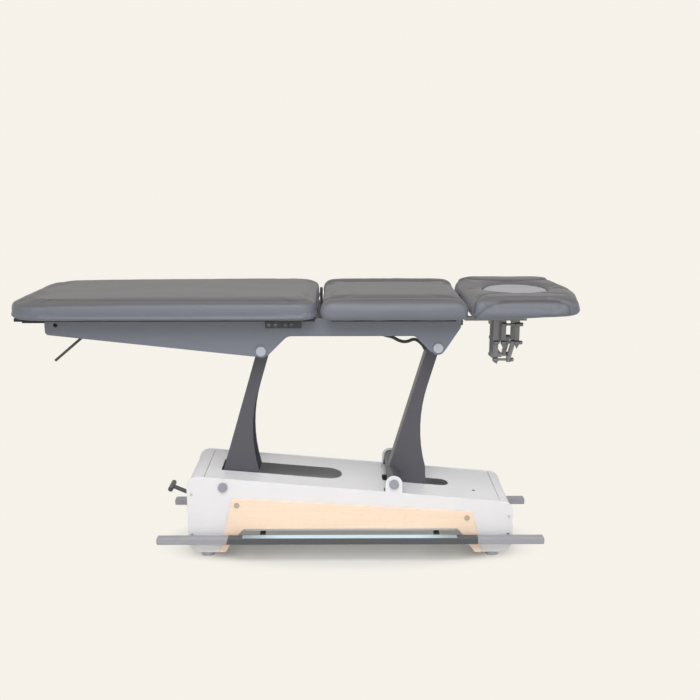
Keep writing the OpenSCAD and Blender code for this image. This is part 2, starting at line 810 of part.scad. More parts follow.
module bushes(low, w) {
    tube = inner_y - upright_t - seat_gap;
    color(board_black) both_sides() for (b = [[low, tube], [low + arm_rise, w / 2]]) difference() {
        pin_y(b[0], bush_d, -b[1], -b[1] + bush_l);
        pin_y(b[0], shaft_d + 2 * fit, -b[1] - over, -b[1] + bush_l + over);
    }
}

module foot_arm_bushes() { bushes(ll, foot_arm_w); }

module head_arm_bushes() { bushes(lr, head_arm_w); }

// Electric actuator from the chassis clevis to the lever foot of the head arm
eye_place = lr + lever_r * [cos(arm_lean), -sin(arm_lean)];
act_vector = eye_place - actuator_rear;
act_l = norm(act_vector);
act_angle = atan2(act_vector.y, act_vector.x);
tube_d = 40;
tube_end = 400;
rod_d = 18;
rod_start = 300;
gear_share = 0.25;
nose_l = 20;
tube_bore = 30;
gear_l = 70;
gear_w = 52;
motor_d = 44;
motor_l = 120;
motor_y = 46;
rear_r = 13;

module along_actuator() {
    translate([actuator_rear.x, 0, actuator_rear.y]) rotate([0, -act_angle, 0]) children();
}

module actuator_housing() {
    gear_x = gear_share * gear_l;
    color(board_black) along_actuator() difference() {
        union() {
            pin_y([0, 0], 2 * rear_r, -clevis_w / 2 + seat_gap, clevis_w / 2 - seat_gap);
            block([0, -rear_r, -rear_r], [2 * gear_x, rear_r, rear_r]);
            block([gear_x, -gear_w / 2, -gear_w / 2], [gear_x + gear_l, gear_w / 2, gear_w / 2]);
            pin_x([0, 0], tube_d, gear_l, tube_end);
            pin_x([motor_y, 0], motor_d, gear_x, gear_x + motor_l);
        }
        pin_y([0, 0], clevis_d + 2 * fit, -clevis_w, clevis_w);
        pin_x([0, 0], tube_bore, 2 * gear_x + gear_l, tube_end - nose_l);
        pin_x([0, 0], rod_d + 2 * fit, 2 * gear_x + gear_l, tube_end + over);
    }
}

module actuator_rod() {
    eye_pin_l = head_arm_w - 2 * arm_wall - 2 * seat_gap;
    color(bright_steel) along_actuator() {
        pin_x([0, 0], rod_d, rod_start, act_l - eye_d / 3);
        pin_y([act_l, 0], eye_d, -eye_w / 2, eye_w / 2);
        pin_y([act_l, 0], eye_d / 2, -eye_pin_l / 2, eye_pin_l / 2);
    }
}

// Frame plates: a long foot end that tapers, a level belly and a lug at each upper pivot
frame_y = frame_w / 2;
frame_in_y = frame_y - frame_t;
frame_x0 = ul.x - frame_foot_reach;
frame_x1 = ur.x + frame_head_reach;
frame_tip_h = 60.5;
frame_belly = 66.5;
frame_lug_r = 26;
frame_tip_hole = [40, 25];
tip_hole_d = 16;
frame_edge_r = 14;
belly_r = 40;
head_tip_h = 34;

module frame_plate() {
    belly_z = board_z - frame_belly;
    color(frame_grey) difference() {
        slab(-frame_y, -frame_in_y) union() {
            polygon(rounded([
                [frame_x0, board_z], [frame_x0, board_z - frame_tip_h, frame_edge_r],
                [ul.x - frame_lug_r, ul.y - frame_lug_r * 0.8],
                [ul.x + frame_lug_r, ul.y - frame_lug_r * 0.6],
                [ul.x + frame_lug_r + belly_z - ul.y + frame_lug_r * 0.6, belly_z, belly_r],
                [ur.x - frame_lug_r - belly_z + ur.y - frame_lug_r * 0.6, belly_z, belly_r / 2],
                [ur.x - frame_lug_r, ur.y - frame_lug_r * 0.6],
                [ur.x + frame_lug_r * 0.94, ur.y - frame_lug_r * 0.45],
                [frame_x1, board_z - head_tip_h, belly_r / 2], [frame_x1, board_z]]));
            translate(ul) circle(r = frame_lug_r);
            translate(ur) circle(r = frame_lug_r);
        }
        for (p = [ul, ur]) pin_y(p, shaft_d, -frame_y - over, -frame_in_y + over);
        pin_y([frame_x0 + frame_tip_hole.x, board_z - frame_tip_hole.y], tip_hole_d,
            -frame_y - over, -frame_in_y + over);
    }
}

module frame_plate_near() { frame_plate(); }

module frame_plate_far() { far_side() frame_plate(); }

// Crossbars with the lugs of the leg hinge, the head hinge, the gas spring and the lever
crossbar_drop = 30;
crossbar_top = board_z - crossbar_drop;
crossbar_z = crossbar_top - crossbar_h;
crossbar_shares = [0.0264, 0.0957, 0.2145, 0.386, 0.63, 0.808, 0.9598];
crossbar_x = [for (s = crossbar_shares) frame_x0 + s * (frame_x1 - frame_x0)];
rail_stop_h = 10;
leg_rail_y = 130;
leg_rail_w = 20;
leg_rail_h = 20;
leg_pin = [(leg_x1 + mid_x0) / 2, cushion_z + 0.72 * cushion_h];
leg_pin_d = 6;
leg_lug_r = 5.5;
leg_lug_t = 10;
head_pin = [(mid_x1 + head_x0) / 2, cushion_z + 0.57 * cushion_h];
head_pin_d = 3.6;
head_lug_r = 3.4;
head_lug_y = 60;
head_lug_t = 8;
head_arm_drop = 15;
spring_hang = [30, 55];
spring_low = [crossbar_x[4] - spring_hang.x, board_z - spring_hang.y];
spring_rest = [-300, 20];
spring_high = [spring_low.x + spring_rest.x, board_z - spring_rest.y];
spring_d = 22;
spring_rod_d = 10;
spring_pin_d = 8;
spring_lug_gap = 7;
spring_lug_t = 5;
lever_hang = [15, 11];
lever_pivot = [crossbar_x[1] - lever_hang.x, crossbar_z - lever_hang.y];
lever_y = -100;
lever_hub_w = 16;
lever_rod_l = 157;
lever_rod_d = 10;
lever_lean = 50;
gland_d = 18.5;
gland_l = 12;

// Two lugs beside the hub of the release lever
module lever_lugs() {
    gap = lever_hub_w / 2 + seat_gap;
    for (y = [lever_y - gap - spring_lug_t, lever_y + gap]) slab(y, y + spring_lug_t)
        lug_shape(lever_pivot, crossbar_z + crossbar_h / 2, lug_r);
}

module frame_crossbars() {
    color(dark_metal) {
        difference() {
            union() {
                for (x = crossbar_x) block([x - crossbar_h / 2, -frame_in_y, crossbar_z],
                    [x + crossbar_h / 2, frame_in_y, crossbar_z + crossbar_h]);
                for (x = [crossbar_x[0], crossbar_x[2]]) both_sides()
                    block([x - crossbar_h / 2, -leg_rail_y - leg_rail_w, crossbar_top],
                        [x + crossbar_h / 2, -leg_rail_y, crossbar_top + rail_stop_h - seat_gap]);
                both_sides() {
                    slab(-spring_lug_gap - spring_lug_t, -spring_lug_gap) union() {
                        translate(spring_low) circle(r = lug_r);
                        translate([spring_low.x, spring_low.y - lug_r])
                            square([crossbar_x[4] - spring_low.x, 2 * lug_r]);
                    }
                    slab(-frame_in_y, -leg_rail_y - leg_rail_w - seat_gap)
                        lug_strip(leg_pin, leg_lug_r, crossbar_z);
                    slab(-head_lug_y - head_lug_t, -head_lug_y) union() {
                        lug_strip(head_pin, head_lug_r, crossbar_top - head_arm_drop);
                        translate([crossbar_x[6], crossbar_top - head_arm_drop])
                            square([head_pin.x - crossbar_x[6], head_arm_drop]);
                    }
                }
                lever_lugs();
            }
            pin_y(lever_pivot, spring_pin_d + 2 * fit, lever_y - 2 * lever_hub_w, lever_y + 2 * lever_hub_w);
        }
        both_sides() pin_y(leg_pin, leg_pin_d, -frame_in_y, -leg_rail_y - leg_rail_w + leg_lug_t);
        both_sides() pin_y(head_pin, head_pin_d, -head_lug_y - 2 * head_lug_t, -head_lug_y);
        pin_y(spring_low, spring_pin_d, -spring_lug_gap - spring_lug_t, spring_lug_gap + spring_lug_t);
    }
}

// A thin upright lug with a round top at a pivot
module lug_strip(p, r, z) {
    translate(p) circle(r = r);
    translate([p.x - r, z]) square([2 * r, p.y - z]);
}

module upper_shafts() {
    color(bright_steel) for (p = [ul, ur]) pin_y(p, shaft_d, -frame_y, frame_y);
}

module upper_shaft_caps() {
    color(sleeve_grey) both_sides() for (p = [ul, ur]) pin_y(p, cap_d, -frame_y - cap_t, -frame_y);
}

// Boards under the cushions
board_inset = 38;
board_side = 62;
leg_board_end = 25;
leg_board_inset = 8;
head_board_rim = 20;
head_board_end = 106;

module mid_board() {
    color(board_black) block([mid_x0 + board_inset, -half_w + board_side, board_z],
        [mid_x1 - board_inset, half_w - board_side, deck_z]);
}

module leg_board() {
    color(board_black) block([leg_x0 + leg_board_end, -half_w + board_side, board_z + seat_gap],
        [leg_x1 - leg_board_inset, half_w - board_side, deck_z]);
}

// Padded forms: rings of an outline, drawn in by a profile and closed by a crown
pad_profile_shares = [[0.38, 0], [0.16, 0.1], [0.04, 0.28], [0, 0.5], [0.03, 0.72], [0.1, 0.84],
    [0.08, 0.88], [0.22, 0.96], [0.5, 1]];

function drawn_in(pts, c, half, e, z) = [for (p = pts)
    [c.x + (p.x - c.x) * (1 - e / half.x), c.y + (p.y - c.y) * (1 - e / half.y), z]];

function side_faces(n, a, b) = [for (j = [0 : n - 1]) each
    [[a + j, b + (j + 1) % n, a + (j + 1) % n], [a + j, b + j, b + (j + 1) % n]]];

module pad(pts, c, half, z, h, crown, edge) {
    n = len(pts);
    rings = [for (s = pad_profile_shares) drawn_in(pts, c, half, s.x * edge, z + s.y * h)];
    crown_ring = drawn_in(pts, c, half, edge, z + h + crown * 0.6);
    all_rings = concat(rings, [crown_ring]);
    m = len(all_rings);
    points = concat([for (r = all_rings) each r], [[c.x, c.y, z], [c.x, c.y, z + h + crown]]);
    faces = concat(
        [for (i = [0 : m - 2]) each side_faces(n, i * n, (i + 1) * n)],
        [for (j = [0 : n - 1]) [j, (j + 1) % n, m * n]],
        [for (j = [0 : n - 1]) [(m - 1) * n + (j + 1) % n, (m - 1) * n + j, m * n + 1]]);
    polyhedron(points, faces);
}

// A rectangular pad between two corners, with its own radius at the low and high x ends
module box_pad(x0, x1, y0, y1, r0, r1, rise, edge) {
    pts = rounded([[x0, y0, r0], [x1, y0, r1], [x1, y1, r1], [x0, y1, r0]]);
    pad(pts, [(x0 + x1) / 2, (y0 + y1) / 2], [(x1 - x0) / 2, (y1 - y0) / 2],
        cushion_z, cushion_h + rise, crown_h, edge);
}

foot_corner_r = 100;
end_corner_r = 36;
pad_edge = 60;
bolster_edge = 36;
bolster_gap = 1;

module leg_cushion() {
    color(vinyl) box_pad(leg_x0, leg_x1, -half_w, half_w, foot_corner_r, end_corner_r, 0, pad_edge);
}

module mid_cushion() {
    y = half_w - bolster_w - bolster_gap;
    color(vinyl) difference() {
        box_pad(mid_x0, mid_x1, -y, y, end_corner_r, end_corner_r, -bolster_rise, pad_edge);
        hinge_notch();
    }
}

module mid_bolsters() {
    color(vinyl) both_sides() box_pad(mid_x0, mid_x1, -half_w, -half_w + bolster_w,
        end_corner_r, end_corner_r, bolster_rise, bolster_edge);
}

// Space round the head hinge's lugs in the ends of both cushions
notch_d = 30;
notch_side = 22;
notch_top = 14;
module hinge_notch() {
    both_sides() block([head_pin.x - notch_d, -head_lug_y - 2 * head_lug_t - notch_side, board_z],
        [head_pin.x + notch_d, -head_lug_y + notch_side, head_pin.y + notch_top]);
}

// Control panels on the near frame plate, with four round buttons
panel_t = 15;
panel_h = 26;
panel_drop = 34;
panel_z = board_z - panel_drop;
panel_steps = [18, 81.5, 148];
panel_x = [for (d = panel_steps) ul.x + d];
panel_seam = 1;
button_d = [18, 18, 14.5, 14.5];
button_steps = [14, 38, 74, 96];
button_x = [for (d = button_steps) panel_x[0] + d];
button_rise = 2;
button_recess = 6;
button_gap = 0.4;

module control_panels() {
    color(board_black) difference() {
        for (i = [0, 1]) block([panel_x[i] + (i * panel_seam), -frame_y - panel_t, panel_z],
            [panel_x[i + 1], -frame_y, panel_z + panel_h]);
        for (i = [0 : 3]) pin_y([button_x[i], panel_z + panel_h / 2], button_d[i] + 2 * button_gap,
            -frame_y - panel_t - over, -frame_y - panel_t + button_recess);
    }
}

module button(i) {
    color(bright_steel) pin_y([button_x[i], panel_z + panel_h / 2], button_d[i],
        -frame_y - panel_t - button_rise, -frame_y - panel_t + button_recess - button_rise);
}

module up_button() { button(0); }

module down_button() { button(1); }

module leg_button() { button(2); }

module head_button() { button(3); }

// Ribbed conduit from a crossbar to the back of the head arm
conduit_route = [[300, 885], [300, 877], [300, 869], [303, 860], [312, 851.5], [325, 846.5], [339, 843],
    [352, 839], [364, 832.5], [376, 826.5], [388, 823], [400, 822], [414, 825], [427, 830.5], [440, 830],
    [452, 823], [462, 814], [467, 808.5], [472, 803]];
conduit_end = conduit_route[len(conduit_route) - 1];
conduit_exit = conduit_end - conduit_route[len(conduit_route) - 2];
gland_lean = -atan2(conduit_exit.y, conduit_exit.x);
conduit_wall = 1.6;
rib_depth = 1.2;
rib_steps = 5;
conduit_sides = 8;

// Smooth place on the route between two of its points
function route_at(p, i, t) =
    let(n = len(p) - 1, a = p[max(i - 1, 0)], b = p[i], c = p[min(i + 1, n)], d = p[min(i + 2, n)])
    0.5 * (2 * b + (c - a) * t + (2 * a - 5 * b + 4 * c - d) * t * t + (3 * b - a - 3 * c + d) * t * t * t);

conduit_path = concat([for (i = [0 : len(conduit_route) - 2]) for (k = [0 : rib_steps - 1])
    route_at(conduit_route, i, k / rib_steps)], [conduit_end]);

function ring_at(p, t, r) = [for (j = [0 : conduit_sides - 1])
    let(a = 360 * j / conduit_sides)
    [p.x - t.y * r * cos(a), r * sin(a), p.y + t.x * r * cos(a)]];

module cable_conduit() {
    n = len(conduit_path);
    inner_r = conduit_d / 2 - rib_depth - conduit_wall;
    function tangent(i) = unit(conduit_path[min(i + 1, n - 1)] - conduit_path[max(i - 1, 0)]);
    function outer_r(i) = conduit_d / 2 - (i > 1 && i < n - 2 && i % 2 == 1 ? rib_depth : 0);
    rings = concat(
        [for (i = [0 : n - 1]) ring_at(conduit_path[i], tangent(i), outer_r(i))],
        [for (i = [n - 1 : -1 : 0]) ring_at(conduit_path[i], tangent(i), inner_r)]);
    m = len(rings);
    color(board_black) polyhedron([for (r = rings) each r],
        [for (i = [0 : m - 1])
            each side_faces(conduit_sides, i * conduit_sides, ((i + 1) % m) * conduit_sides)]);
}

module conduit_gland() {
    color(dark_metal) translate([conduit_route[0].x, 0, crossbar_z - gland_l]) difference() {
        cylinder(d = gland_d, h = gland_l);
        translate([0, 0, -over]) cylinder(d = conduit_d + 2 * seat_gap, h = gland_l + 2 * over);
    }
}

// Leg section
module leg_rails() {
    x1 = leg_x1 - leg_board_inset;
    color(board_black) difference() {
        union() {
            both_sides() {
                block([leg_x0 + leg_board_end, -leg_rail_y - leg_rail_w, board_z - leg_rail_h],
                    [x1, -leg_rail_y, board_z + seat_gap]);
                slab(-leg_rail_y - leg_rail_w, -leg_rail_y - leg_rail_w + leg_lug_t) union() {
                    lug_strip(leg_pin, leg_lug_r, board_z - leg_rail_h);
                    translate([x1 - leg_rail_w, board_z - leg_rail_h])
                        square([leg_pin.x - x1 + leg_rail_w, leg_rail_h / 2]);
                }
                slab(-spring_lug_gap - spring_lug_t, -spring_lug_gap)
                    lug_shape(spring_high, board_z + seat_gap, lug_r);
            }
            block([spring_high.x - 2 * lug_r, -leg_rail_y, board_z - spring_lug_t + seat_gap],
                [spring_high.x + 2 * lug_r, leg_rail_y, board_z + seat_gap]);
        }
        both_sides() pin_y(leg_pin, leg_pin_d + 2 * fit, -frame_in_y, 0);
    }
}

spring_vector = spring_high - spring_low;
spring_l = norm(spring_vector);
spring_angle = atan2(spring_vector.y, spring_vector.x);
spring_tube_l = 255;
spring_tube_start = 15;
spring_rod_start = 60;

module along_spring() {
    translate([spring_low.x, 0, spring_low.y]) rotate([0, -spring_angle, 0]) children();
}

module gas_spring_cylinder() {
    eye_l = 2 * (spring_lug_gap - seat_gap);
    color(board_black) along_spring() difference() {
        union() {
            pin_y([0, 0], 2 * spring_pin_d, -eye_l / 2, eye_l / 2);
            pin_x([0, 0], spring_rod_d, 0, spring_tube_start + over);
            pin_x([0, 0], spring_d, spring_tube_start, spring_tube_l);
        }
        pin_y([0, 0], spring_pin_d + 2 * fit, -eye_l, eye_l);
        pin_x([0, 0], spring_rod_d + 2 * fit, spring_rod_start - over, spring_tube_l + over);
    }
}

module gas_spring_rod() {
    eye_l = 2 * (spring_lug_gap - seat_gap);
    color(bright_steel) along_spring() {
        pin_x([0, 0], spring_rod_d, spring_rod_start, spring_l);
        pin_y([spring_l, 0], 2 * spring_pin_d, -eye_l / 2, eye_l / 2);
    }
}

module release_lever() {
    color(dark_metal) {
        pin_y(lever_pivot, 2 * spring_pin_d, lever_y - lever_hub_w / 2, lever_y + lever_hub_w / 2);
        pin_y(lever_pivot, spring_pin_d, lever_y - lever_hub_w / 2 - spring_lug_t,
            lever_y + lever_hub_w / 2 + spring_lug_t);
        translate([lever_pivot.x, lever_y, lever_pivot.y]) rotate([0, -90 - (90 - lever_lean), 0])
            cylinder(d = lever_rod_d, h = lever_rod_l);
    }
}

// Head section: a carrier on the head hinge, links that swing sideways, and a yoke under the board
carrier_rail_y = 95;
carrier_rail_w = 15;
carrier_h = 15;
carrier_l = 229;
carrier_top = 5;
carrier_inset = 1;
carrier_z = board_z - carrier_top - carrier_h;
tab_step = 90;
tab_w = 11;
tab_h = 12;
hanger_steps = [149, 200];
hanger_x = [for (d = hanger_steps) head_x0 + d];
hanger_w = 17;
hanger_y = 50;
hanger_t = 8;
hanger_tip = 25;
pin_drops = [46, 116, 182];
pin_high_z = board_z - pin_drops[0];
pin_mid_z = board_z - pin_drops[1];
pin_low_z = board_z - pin_drops[2];
pin_d = 9;
boss_d = 15;
boss_over = 2;
boss_chamfer = 2.5;
pin_head_l = 12;
link_t = 20;
link_w = 14.7;
link_skew = 12;
link_x1 = hanger_x[1] - boss_over - seat_gap;
link_x0 = link_x1 - link_w;
yoke_step = 120;
yoke_x = head_x0 + yoke_step;
yoke_w = 18;
yoke_flare = [6, 30];
yoke_tip = 18;
yoke_tip_share = 0.83;
yoke_cut_shares = [[0.06, 0.08], [0.94, 0.08], [0.88, 0.83]];
yoke_tie_w = 14;

// A boss round a pin along X, with chamfered ends
module boss(z, x0, x1) {
    translate([x0, -hanger_y, z]) rotate([0, 90, 0]) chamfered(boss_d, x1 - x0, boss_chamfer);
}

// A thin plate behind the bosses, from its outline in x and z
module hanger_plate() {
    slab(-hanger_y, -hanger_y + hanger_t) children();
}

module carrier_side() {
    x0 = head_x0 + carrier_inset;
    block([x0, -carrier_rail_y - carrier_rail_w, carrier_z],
        [x0 + carrier_l, -carrier_rail_y, carrier_z + carrier_h]);
    block([x0, -carrier_rail_y, carrier_z],
        [x0 + carrier_rail_w, -head_lug_y - head_lug_t - seat_gap, carrier_z + carrier_h]);
    block([head_x0 + tab_step, -carrier_rail_y - carrier_rail_w, carrier_z - tab_h],
        [head_x0 + tab_step + tab_w, -carrier_rail_y, carrier_z]);
    slab(-head_lug_y - 2 * head_lug_t, -head_lug_y - head_lug_t - seat_gap) union() {
        lug_strip(head_pin, head_lug_r, carrier_z);
        translate([head_pin.x, carrier_z]) square([carrier_rail_w, carrier_h]);
    }
    for (x = hanger_x) hanger_plate() polygon([[x, carrier_z + carrier_h], [x, pin_mid_z - boss_d / 2],
        [x + hanger_w / 2, pin_mid_z - hanger_tip], [x + hanger_w, pin_mid_z - boss_d / 2],
        [x + hanger_w, carrier_z + carrier_h]]);
    for (z = [pin_mid_z, pin_high_z]) {
        boss(z, hanger_x[0] - boss_over, hanger_x[0] + hanger_w + boss_over);
        boss(z, hanger_x[1] - boss_over, hanger_x[1] + hanger_w + pin_head_l);
    }
}

module head_carrier() {
    color(dark_metal) difference() {
        union() {
            both_sides() carrier_side();
            block([hanger_x[0] - boss_over, -carrier_rail_y, carrier_z + carrier_h / 2],
                [hanger_x[1] + hanger_w + boss_over, carrier_rail_y, carrier_z + carrier_h]);
        }
        both_sides() {
            pin_y(head_pin, head_pin_d + 2 * fit, -frame_in_y, -head_lug_y - head_lug_t);
            for (z = [pin_mid_z, pin_high_z])
                pin_x([-hanger_y, z], pin_d, hanger_x[0] - over, hanger_x[1] + hanger_w);
        }
    }
    color(bright_steel) both_sides() for (z = [pin_mid_z, pin_high_z])
        pin_x([-hanger_y, z], pin_d, hanger_x[0], hanger_x[1] + hanger_w);
}

// A link leans along X, and its round ends turn on the middle and the low pin
module swing_link() {
    r = link_t / 2;
    color(dark_metal) difference() {
        intersection() {
            translate([link_x0 - link_skew, 0, 0]) rotate([90, 0, 90]) linear_extrude(link_w + link_skew)
                union() {
                    translate([-hanger_y, pin_mid_z]) circle(r = r);
                    translate([-hanger_y, pin_low_z]) circle(r = r);
                    translate([-hanger_y - r, pin_low_z]) square([link_t, pin_mid_z - pin_low_z]);
                }
            slab(-hanger_y - link_t, -hanger_y + link_t) polygon([
                [link_x0, pin_mid_z + link_t], [link_x1, pin_mid_z + link_t], [link_x1, pin_mid_z - r],
                [link_x1 - link_skew, pin_low_z + r], [link_x1 - link_skew, pin_low_z - link_t],
                [link_x0 - link_skew, pin_low_z - link_t], [link_x0 - link_skew, pin_low_z + r],
                [link_x0, pin_mid_z - r]]);
        }
        for (z = [pin_mid_z, pin_low_z])
            pin_x([-hanger_y, z], pin_d + 2 * fit, link_x0 - link_skew - over, link_x1 + over);
    }
}

module swing_link_near() { swing_link(); }

module swing_link_far() { far_side() swing_link(); }

module yoke_plate() {
    hanger_plate() difference() {
        polygon([[yoke_x - yoke_flare.x, board_z], [yoke_x, board_z - yoke_flare.y],
            [yoke_x, pin_low_z - boss_d / 2], [yoke_x + yoke_tip_share * yoke_w, pin_low_z - yoke_tip],
            [yoke_x + yoke_w, pin_low_z - boss_d / 2], [yoke_x + yoke_w, board_z]]);
        polygon([for (s = yoke_cut_shares) [yoke_x + s.x * yoke_w, board_z - s.y * yoke_flare.y]]);
    }
}

module head_yoke() {
    pin_x1 = link_x1 - link_skew + seat_gap;
    color(frame_grey) {
        difference() {
            both_sides() {
                yoke_plate();
                for (z = [pin_mid_z, pin_low_z]) boss(z, yoke_x - boss_over, yoke_x + yoke_w + boss_over);
            }
            both_sides() pin_x([-hanger_y, pin_low_z], pin_d, yoke_x, yoke_x + yoke_w + over);
        }
        block([yoke_x + yoke_w, -hanger_y, pin_low_z + pin_d],
            [yoke_x + yoke_w + yoke_tie_w, hanger_y, pin_low_z + pin_d + yoke_tie_w]);
    }
    color(bright_steel) both_sides() {
        pin_x([-hanger_y, pin_low_z], pin_d, yoke_x, pin_x1);
        boss(pin_low_z, pin_x1, pin_x1 + pin_head_l);
    }
}

face_step = 202;
face_x = head_x0 + face_step;
plug_gap = 1;
face_hole_share = 0.78;
module head_board() {
    color(board_black) difference() {
        block([head_x0 + board_inset, -plug_w / 2 - head_board_rim, board_z],
            [head_x1 - head_board_end, plug_w / 2 + head_board_rim, deck_z]);
        translate([face_x, 0, board_z - over]) cylinder(d = plug_w * face_hole_share, h = board_t + 2 * over);
    }
}

// Head cushion: convex at its end, with a straight-walled hole for the face plug
head_end_shares = [[0.89, -1, 45], [0.935, -0.59, 120], [1, -0.2, 150], [1, 0.2, 150], [0.935, 0.59, 120],
    [0.89, 1, 45]];
head_outline = rounded(concat([[head_x0, -half_w, end_corner_r]],
    [for (s = head_end_shares) [head_x0 + s.x * head_l, s.y * half_w, s.z]],
    [[head_x0, half_w, end_corner_r]]));

// Outline of the face plug, widened by a gap
plug_steps = 48;
function plug_outline(g) = [for (i = [0 : plug_steps - 1])
    [face_x + (plug_l / 2 + g) * cos(360 * i / plug_steps), (plug_w / 2 + g) * sin(360 * i / plug_steps)]];

module head_cushion() {
    color(vinyl) difference() {
        pad(head_outline, [head_x0 + head_l / 2, 0], [head_l / 2, half_w], cushion_z, cushion_h, crown_h,
            pad_edge);
        translate([0, 0, board_z]) linear_extrude(table_w) polygon(plug_outline(plug_gap));
        hinge_notch();
    }
}

plug_profile_shares = [[0.1, 0], [0, 0.1], [0, 0.88], [0.08, 0.95], [0.3, 1]];
module face_plug() {
    pts = plug_outline(0);
    n = len(pts);
    rings = [for (s = plug_profile_shares) drawn_in(pts, [face_x, 0], [plug_l / 2, plug_w / 2],
        s.x * bolster_edge, cushion_z + s.y * (cushion_h + crown_h * 0.4))];
    m = len(rings);
    color(cover_grey) polyhedron(
        concat([for (r = rings) each r],
            [[face_x, 0, cushion_z], [face_x, 0, cushion_z + cushion_h + crown_h * 0.7]]),
        concat([for (i = [0 : m - 2]) each side_faces(n, i * n, (i + 1) * n)],
            [for (j = [0 : n - 1]) [j, (j + 1) % n, m * n]],
            [for (j = [0 : n - 1]) [(m - 1) * n + (j + 1) % n, (m - 1) * n + j, m * n + 1]]));
}

side_plate_near();
side_plate_far();
top_cover();
foot_end_cover();
head_end_cover();
wood_panel_near();
wood_panel_far();
panel_caps();
chassis();
foot_pads();
case_screws();
lower_shafts();
lower_shaft_caps();
control_box();
mains_inlet();
foot_bar_near();
foot_bar_far();
bar_sleeves_near();
bar_sleeves_far();
light_strip_near();
light_strip_far();
pedal();
wheel_rocker_foot();
wheel_rocker_head();
wheels_foot();
wheels_head();
actuator_housing();
actuator_rod();
foot_arm();
head_arm();
foot_arm_bushes();
head_arm_bushes();
frame_plate_near();
frame_plate_far();
frame_crossbars();
upper_shafts();
upper_shaft_caps();
mid_board();
mid_cushion();
mid_bolsters();
control_panels();
up_button();
down_button();
leg_button();
head_button();
cable_conduit();
conduit_gland();
leg_rails();
leg_board();
leg_cushion();
gas_spring_cylinder();
gas_spring_rod();
release_lever();
head_carrier();
swing_link_near();
swing_link_far();
head_yoke();
head_board();
head_cushion();
face_plug();
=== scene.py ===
import math

import bmesh
import bpy
from mathutils import Matrix, Vector, noise


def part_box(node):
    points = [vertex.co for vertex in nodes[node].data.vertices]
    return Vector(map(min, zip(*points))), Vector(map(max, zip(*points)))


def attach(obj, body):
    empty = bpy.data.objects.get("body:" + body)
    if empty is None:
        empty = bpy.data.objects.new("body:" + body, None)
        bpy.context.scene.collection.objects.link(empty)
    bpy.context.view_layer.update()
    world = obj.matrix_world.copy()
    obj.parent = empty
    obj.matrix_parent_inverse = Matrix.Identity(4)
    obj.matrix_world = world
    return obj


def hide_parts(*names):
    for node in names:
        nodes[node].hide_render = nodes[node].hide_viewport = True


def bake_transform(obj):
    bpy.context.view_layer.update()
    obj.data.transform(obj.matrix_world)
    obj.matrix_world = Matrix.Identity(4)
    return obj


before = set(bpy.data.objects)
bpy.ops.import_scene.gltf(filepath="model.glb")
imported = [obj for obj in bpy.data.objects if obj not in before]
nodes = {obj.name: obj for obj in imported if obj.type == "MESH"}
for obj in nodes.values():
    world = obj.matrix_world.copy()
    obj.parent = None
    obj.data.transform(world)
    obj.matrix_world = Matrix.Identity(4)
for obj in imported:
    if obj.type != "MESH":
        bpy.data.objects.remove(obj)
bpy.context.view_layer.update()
scene = bpy.context.scene
print("frame loaded:", len(nodes), "nodes")

# camera, floor and light
view = {
    "place": (0.168, -3.4, 1.56),
    "pitch": 12.77,      # degrees down
    "yaw": 0.32,         # degrees towards the head end
    "lens": 46.565,
    "sensor": 36.0,
}
studio = {
    "backdrop": (0.921, 0.890, 0.823),
    "floor": (0.90, 0.875, 0.83),
    "floorSize": 40.0,
    "shadowCentre": (0.188, 0.0, 0.0),
    "shadowHalf": (0.78, 0.28, 1.0),    # the kept shadow is longer than it is wide
    "nearShare": 0.74,
    "farShare": 1.06,
    "shadowFill": 0.20,
    "worldStrength": 0.50,
    "lamps": [
        # name, place, aimed at, size, power
        ("lampTop", (0.1, -2.1, 3.1), (0.0, 0.0, 0.5), 2.4, 90.0),
        ("lampFront", (-0.6, -4.4, 1.9), (0.0, 0.0, 0.6), 2.6, 22.0),
        ("lampHead", (3.6, -1.2, 2.0), (0.2, 0.0, 0.6), 2.0, 8.0),
    ],
}


def makeCamera():
    data = bpy.data.cameras.new("camera")
    data.lens = view["lens"]
    data.sensor_width = view["sensor"]
    data.clip_end = 100
    cam = bpy.data.objects.new("camera", data)
    scene.collection.objects.link(cam)
    cam.location = view["place"]
    cam.rotation_euler = (math.radians(90 - view["pitch"]), 0, -math.radians(view["yaw"]))
    scene.camera = cam


def linkNodes(tree, *pairs):
    for a, b in pairs:
        tree.links.new(a, b)


def addNode(tree, kind, **values):
    node = tree.nodes.new("ShaderNode" + kind)
    for key, value in values.items():
        if key in node.inputs:
            node.inputs[key].default_value = value
        else:
            setattr(node, key, value)
    return node


def softStep(tree, value, low, high, first=0.0, last=1.0):    # a smooth change between two readings
    ramp = addNode(tree, "MapRange", interpolation_type="SMOOTHSTEP")
    for socket, number in zip(("From Min", "From Max", "To Min", "To Max"), (low, high, first, last)):
        ramp.inputs[socket].default_value = number
    tree.links.new(value, ramp.inputs["Value"])
    return ramp.outputs[0]


def anySeenRay(tree):    # camera, mirror and see-through rays all meet the plain backdrop
    path = addNode(tree, "LightPath")
    first = addNode(tree, "Math", operation="MAXIMUM")
    both = addNode(tree, "Math", operation="MAXIMUM")
    linkNodes(tree, (path.outputs["Is Camera Ray"], first.inputs[0]),
              (path.outputs["Is Transmission Ray"], first.inputs[1]),
              (first.outputs[0], both.inputs[0]), (path.outputs["Is Glossy Ray"], both.inputs[1]))
    return both.outputs[0]


